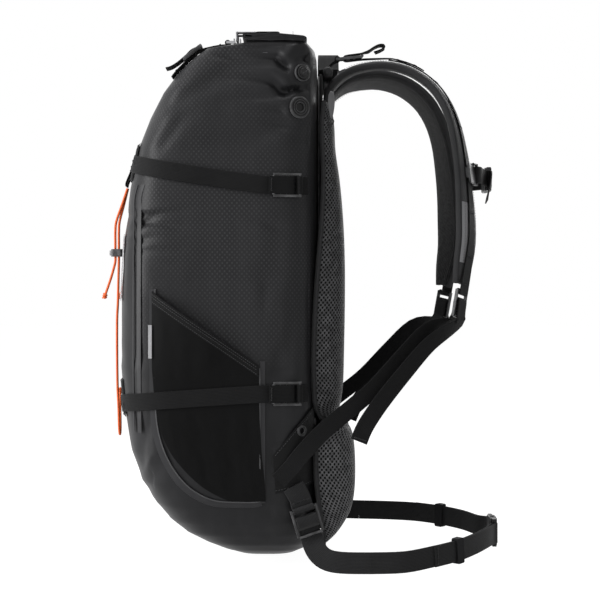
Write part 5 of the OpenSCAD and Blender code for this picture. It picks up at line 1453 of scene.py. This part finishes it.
for side, mirror in SIDES:
    b = Build()
    b.field(44, 36, wing_at(GAP + 2 - 0.15), flip=True)
    b.field(44, 36, wing_at(GAP + 0.15))
    keep = [n for n, f in enumerate(b.f)
            if math.dist([sum(b.v[i][k] for i in f) / 4 for k in (0, 2)], WING_HOLE) > 4.4]
    b.f, b.uv, b.m = ([table[n] for n in keep] for table in (b.f, b.uv, b.m))
    b.lathe(on_bag(*WING_HOLE, GAP + 2), out_of_bag(*WING_HOLE),
            [(3.7, -1.9), (3.6, 0.3), (4.2, 0.7), (5.6, 0.6), (6.3, 0.0), (6.2, -1.9)], 40, mat=1)
    for up, inwards in ((1, -3.0), (0, 3.0)):
        seam = [wing_edge(k, up) for k in np.linspace(0.25, 4.75, 24)]
        b.stitches([on_bag(x, z + inwards, GAP + 2.05) for x, z in seam],
                   [out_of_bag(x, z + inwards) for x, z in seam], mat=2, radius=0.22)
    piece(f"base_wing_{side}", b, [GUSSET, PLASTIC, THREAD], replaces=("base_wings",), slot="black_fabric",
          mirror=mirror, angle=50)

# ---------------------------------------------------------------- hip belt
BELT_LOCK = Frame((-31, -153, -541), (0.3, 0.05, -1), (0.2, -1, 0.05))
BUCKLE_X, BUCKLE_Z, BUCKLE_BAR, SOCKET_BAR, TONGUE_BAR = 206, -591, 2, 28.5, 14
BAR_EYE = BUCKLE_BAR + 0.3 + WEB
BAR_OFF = BAR_EYE - WEB / 2


def belt_curve(end, dip):
    """The belt's webbing from beside the pack to the buckle's bar, which is at y = -end."""
    z = BUCKLE_Z
    return upright([
        (45, -152, z - 4 + dip), (85, -145, z - 4 + dip), (120, -129, z - 2 + dip * 0.8),
        (150, -104, z - 1 + dip * 0.6), (175, -74, z + dip * 0.3), (191, -48, z),
        (BUCKLE_X - 6.5, -end - 10, z), (BUCKLE_X - BAR_OFF - 0.3, -end - 4, z),
        (BUCKLE_X - BAR_OFF, -end, z)])


def beside(rows, i, d):
    """Row i of a ribbon, moved off its face by d."""
    line = [vec(r[:3]) for r in rows]
    a = vec(rows[i][3:])
    return (*(line[i] + d * unit(np.cross(along(line, i), a))), *a)


for side, mirror in SIDES:
    end, dip = (SOCKET_BAR, 8) if mirror else (TONGUE_BAR, -8)
    curve = belt_curve(end, dip)
    off = WEB + 0.6
    b = Build()
    in_lock = ((WRAP_X + 6, 0, 3.5), *ROUND_BAR[::-1], (LOCK_LENGTH - 1, 0, -3.1))
    rows = [BELT_LOCK.row(p) for p in in_lock]
    rows += [(-17, -152, BUCKLE_Z + 8 + dip / 2, 0.8, 0, 0.6), (-6, -153, BUCKLE_Z + 1 + dip, 0.5, 0, 0.86),
             (12, -154, BUCKLE_Z - 3 + dip, 0.2, 0, 1)]
    c = Build()
    c.ribbon(rows + [curve[0]], BELT, 4)
    b.ribbon(curve, BELT, 4)
    doubled = upright([(BUCKLE_X + BAR_OFF, -end, BUCKLE_Z), (BUCKLE_X + BAR_OFF - 0.6, -end - 4, BUCKLE_Z),
                       (BUCKLE_X - 2.5, -end - 11, BUCKLE_Z)])
    doubled += [beside(curve, 5, off + 0.3)] + [beside(curve, i, off) for i in (4, 3, 2)]
    b.ribbon(doubled, BELT, 4)
    tail = beside(curve, 2, off + 1.0)
    run = along([vec(r[:3]) for r in curve], 2)
    b.bartack(tail[:3] + 4 * run, (0, 0, 1), run, width=20, length=1.5)
    b.ring((BUCKLE_X, -end, BUCKLE_Z), (0, 0, 1), (1, 0, 0), BAR_EYE, BELT)
    piece(f"belt_lead_{side}", c, [WIDE, THREAD], slot="webbing", mirror=mirror,
          bend=lock_bend(BELT_LOCK, "belt_lock", side, 56, 29))
    b.eye(BELT_LOCK, BELT)
    sewn = on_bag(-44, -515, WING_OFF + 0.3)
    b.ribbon([(*sewn, 0.9, 0, 0.45), BELT_LOCK.row((-14, 0, -3.4)), BELT_LOCK.row((-6, 0, -3)),
              BELT_LOCK.row((0, 0, -EYE_R + WEB / 2))], BELT, 4)
    b.bartack(BELT_LOCK.at((-9, 0, -2.2)), BELT_LOCK.y, BELT_LOCK.x, width=20, length=1.8)
    bend = None if mirror else ("pack", "belt_tongue", (0.150, -0.104, -0.594), (0.2, -0.022, -0.591))
    strap(f"belt_webbing_{side}", b, [WIDE, THREAD], mirror, bend=bend)

# ---------------------------------------------------------------- sternum strap
SLIDER_AT = 29
RISE = RAIL_OFF + WEB / 2 + 2 + 1.2
SLIDER = Frame(strap_line[SLIDER_AT] + RISE * strap_out(SLIDER_AT), along(strap_line, SLIDER_AT),
               strap_out(SLIDER_AT))
BAR = SLIDER.at((0, 17.5, 1.8))
SZ, SX = BAR[2], 199
for side, mirror in SIDES:
    end = SOCKET_BAR if mirror else TONGUE_BAR
    b = Build()
    rows = upright([(BAR[0] + BAR_OFF * 0.6, BAR[1] - BAR_OFF * 0.8, SZ),
                    (BAR[0] + BAR_OFF + 3, BAR[1] + 4, SZ), (187, -47, SZ),
                    (SX - BAR_OFF - 1, -end - 6, SZ), (SX - BAR_OFF, -end, SZ)])
    b.ribbon(rows, NARROW, 6)
    b.ring((SX, -end, SZ), (0, 0, 1), (1, 0, 0), BAR_EYE, NARROW)
    b.ring(BAR, (0, 0, 1), (1, 0, 0), BAR_EYE, NARROW)
    b.bartack((BAR[0] + BAR_OFF + 4.4, BAR[1] + 6.5, SZ), (0, 0, 1), (0.45, 0.9, 0), length=1.5)
    if not mirror:
        b.ribbon([(SX + BAR_OFF, -end, SZ, 0, 0, 1), (SX + BAR_OFF - 0.6, -end - 6, SZ - 0.5, 0, -0.1, 1),
                  (SX + 1, -end - 15, SZ - 5, 0, -0.5, 0.8), (SX - 3, -end - 22, SZ - 16, 0, -0.9, 0.4),
                  (SX - 6, -end - 25, SZ - 30, 0, -1, 0.15)], NARROW, 5)
    bend = None if mirror else (
        "sternum", "sternum_tongue", (0.183, -0.056, SZ / 1000), (0.197, -0.022, SZ / 1000))
    strap(f"sternum_webbing_{side}", b, [STRAP, THREAD], mirror, body="sternum", bend=bend)

# ---------------------------------------------------------------- pull tab on the near pad
b = Build()
TAB = vec(1.6, -115.6, -75)
outline = []
for k in range(28):
    a = 2 * math.pi * k / 28
    outline.append((5.2 * math.sin(a) * (0.74 + 0.26 * math.cos(a)), 16.5 * math.cos(a)))
rows, uvs = [], []
TAB_PROFILE = ((-1.1, 0.02), (-1.1, 0.8), (-0.8, 0.97), (0, 1.0), (0.8, 0.97), (1.1, 0.8), (0.9, 0.7),
               (0.9, 0.02))
for off, size in TAB_PROFILE:
    rows.append([TAB + vec(px * size, -off, pz * size) for px, pz in outline])
    uvs.append([(px / 10, pz / 10) for px, pz in outline + outline[:1]])
b.grid(rows, uvs, closed=True)
turns = np.linspace(0, 2 * math.pi, 25)
ring = [TAB + vec(-0.6 + 3.2 * math.sin(a), 0.6 * math.cos(a), -19 + 3.2 * math.cos(a)) for a in turns]
b.sweep(ring, [(0, 1, 0.01)] * 25, [oval(1.7, 1.7, 2, 8)] * 25, mat=1, caps=False)
b.sweep([TAB + vec(-0.8 - 2.2 * t, 1.0 * t, -22 - 9 * t) for t in np.linspace(0, 1, 5)], [(1, 0, 0)] * 5,
        [oval(4.0, 1.7, 2.6, 10)] * 5, mat=1)
piece("pull_tab", b, [PULLER, COVER], slot="grey_plastic", angle=60)

# ---------------------------------------------------------------- port and valve
PORT_OUT = out_of_bag(*PORT_SPOT)
PORT = on_bag(*PORT_SPOT, GAP)
b = Build()
b.lathe(PORT, PORT_OUT, [
    (5.05, -6.3), (5.05, 2.2), (5.5, 2.6), (6.3, 2.6), (6.6, 1.9), (7.4, 1.9), (7.8, 2.55), (8.8, 2.55),
    (9.1, 1.9), (10.0, 1.9), (10.4, 2.5), (11.9, 2.4), (12.7, 1.7), (12.95, 0.4), (12.9, 0.05), (7.0, 0.05),
    (7.0, -6.3)], 72)
# eight thin flaps close the hose's hole
axis, u, w = around(PORT_OUT, (0, 0, 1))
for k in range(8):
    turns = np.linspace(2 * math.pi * (k + 0.06) / 8, 2 * math.pi * (k + 0.94) / 8, 5)
    rows, uvs = [], []
    for r in (5.0, 3.4, 1.8, 0.5):
        rows.append([PORT + PORT_OUT * (1.2 - 0.12 * r) + r * (math.cos(a) * u + math.sin(a) * w)
                     for a in turns])
        uvs.append([(r / 10, a) for a in turns])
    b.grid(rows, uvs)
piece("hose_port_ring", b, RUBBER, replaces=("hose_port",), slot="black_plastic", angle=35)
VALVE_OUT = out_of_bag(*PLUG_SPOT)
VALVE = on_bag(*PLUG_SPOT, GAP)
b = Build()
b.lathe(VALVE, VALVE_OUT, [
    (4.0, -5.9), (4.0, 1.8), (4.4, 2.4), (7.9, 2.4), (8.2, 2.6), (9.4, 2.5), (9.9, 1.9), (10.0, 0.3),
    (9.9, 0.05), (6.0, 0.05), (6.0, -5.9)])
piece("valve_seat_ring", b, RUBBER, replaces=("valve_seat",), slot="black_plastic", angle=35)
b = Build()
b.lathe(VALVE, VALVE_OUT, [
    (0.02, -4.9), (3.6, -4.9), (3.82, -4.5), (3.82, 2.8), (7.2, 2.8), (7.5, 3.1), (7.5, 4.7), (7.0, 5.2),
    (5.2, 5.2), (5.0, 5.5), (5.0, 7.0), (4.6, 7.4), (3.6, 7.4), (3.3, 7.0), (0.02, 6.9)], closed=False)
piece("valve_plug_knob", b, PLASTIC, body="valve_plug", replaces=("valve_plug",), slot="black_plastic",
      angle=35)

# ---------------------------------------------------------------- hard parts of the frame
LOOKS = (
    (SHADED_SHEET, ("roll_slat", "frame_sheet")), (SILVER, ("frame_stays",)),
    (SATIN, ("roll_loops", "closure_hooks")), (GREYPLASTIC, ("cord_button",)), (KEEPER, ("belt_keeper",)),
    (PLASTIC, ("cord_lock", "side_lock", "lifter_lock", "shoulder_lock", "belt_lock", "belt_socket",
               "belt_tongue", "sternum_sliders", "sternum_socket", "sternum_tongue")))
for name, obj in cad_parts.items():
    for look, starts in LOOKS:
        if name.startswith(starts):
            obj.data.materials.clear()
            obj.data.materials.append(look)
            edge = obj.modifiers.new("edge", "BEVEL")
            edge.width = 0.0003 if name == "frame_sheet" else 0.0006
            edge.segments = 2
            edge.limit_method = "ANGLE"
            edge.angle_limit = math.radians(40)
            edge.harden_normals = False

# ---------------------------------------------------------------- floor, light and background
low = cad_box[0][2] - 0.0005
AMBIENT = 0.14


def stage_white():
    """Pale ground: white to the camera and in reflections, with the object's shadow kept faintly."""
    mat = bpy.data.materials.new("stage_white")
    mat.use_nodes = True
    t = mat.node_tree
    shader = t.nodes["Principled BSDF"]
    shader.inputs["Base Color"].default_value = (0.8, 0.8, 0.8, 1)
    shader.inputs["Roughness"].default_value = 0.9
    shader.inputs["Specular IOR Level"].default_value = 0.0
    rays = t.nodes.new("ShaderNodeLightPath")
    glow = t.nodes.new("ShaderNodeEmission")
    glow.inputs["Color"].default_value = (1, 1, 1, 1)
    seen = t.nodes.new("ShaderNodeMath")
    seen.operation = "MAXIMUM"
    t.links.new(rays.outputs["Is Camera Ray"], seen.inputs[0])
    t.links.new(rays.outputs["Is Glossy Ray"], seen.inputs[1])
    share = t.nodes.new("ShaderNodeMath")
    share.operation = "MULTIPLY"
    share.inputs[1].default_value = 0.96
    t.links.new(seen.outputs[0], share.inputs[0])
    t.links.new(share.outputs[0], glow.inputs["Strength"])
    both = t.nodes.new("ShaderNodeAddShader")
    soft = t.nodes.new("ShaderNodeMixShader")
    t.links.new(seen.outputs[0], soft.inputs["Fac"])
    dim = t.nodes.new("ShaderNodeBsdfDiffuse")
    dim.inputs["Color"].default_value = (0.3, 0.3, 0.3, 1)
    t.links.new(shader.outputs[0], soft.inputs[1])
    t.links.new(dim.outputs[0], soft.inputs[2])
    t.links.new(soft.outputs[0], both.inputs[0])
    t.links.new(glow.outputs[0], both.inputs[1])
    t.links.new(both.outputs[0], t.nodes["Material Output"].inputs["Surface"])
    return mat


bpy.ops.mesh.primitive_plane_add(size=30, location=(0, 0, low))
floor = bpy.context.object
floor.name = "floor"
floor.data.materials.append(stage_white())

world = bpy.data.worlds.new("studio")
scene.world = world
world.use_nodes = True
wt = world.node_tree
background = wt.nodes["Background"]
rays = wt.nodes.new("ShaderNodeLightPath")
seen = wt.nodes.new("ShaderNodeMath")
seen.operation = "MAXIMUM"
wt.links.new(rays.outputs["Is Camera Ray"], seen.inputs[0])
glossy = wt.nodes.new("ShaderNodeMath")
glossy.operation = "MAXIMUM"
wt.links.new(rays.outputs["Is Glossy Ray"], glossy.inputs[0])
wt.links.new(rays.outputs["Is Transmission Ray"], glossy.inputs[1])
wt.links.new(glossy.outputs[0], seen.inputs[1])
level = wt.nodes.new("ShaderNodeMapRange")
level.inputs["To Min"].default_value = AMBIENT
level.inputs["To Max"].default_value = 1.0
wt.links.new(seen.outputs[0], level.inputs["Value"])
wt.links.new(level.outputs["Result"], background.inputs["Strength"])
background.inputs["Color"].default_value = (1, 1, 1, 1)


def lamp(name, place, target, size, watts):
    data = bpy.data.lights.new(name, "AREA")
    data.shape = "RECTANGLE"
    data.size, data.size_y = size
    data.energy = watts
    obj = bpy.data.objects.new(name, data)
    obj.location = place
    obj.rotation_euler = (Vector(target) - Vector(place)).to_track_quat("-Z", "Y").to_euler()
    scene.collection.objects.link(obj)


lamp("key", (-2.0, -0.72, 0.15), (-0.1, 0, -0.3), (0.8, 1.6), 50)
lamp("front", (-0.9, -2.1, 0.3), (-0.05, 0, -0.3), (1.0, 1.2), 4)
lamp("strip", (0.5, -1.8, -0.15), (0.02, -0.1, -0.3), (0.25, 1.2), 1.8)
lamp("rim", (0.8, 1.3, 0.4), (0.1, 0, -0.3), (0.5, 1.4), 7)
lamp("top", (-0.2, -0.1, 1.4), (0, 0, -0.3), (1.2, 0.8), 15)
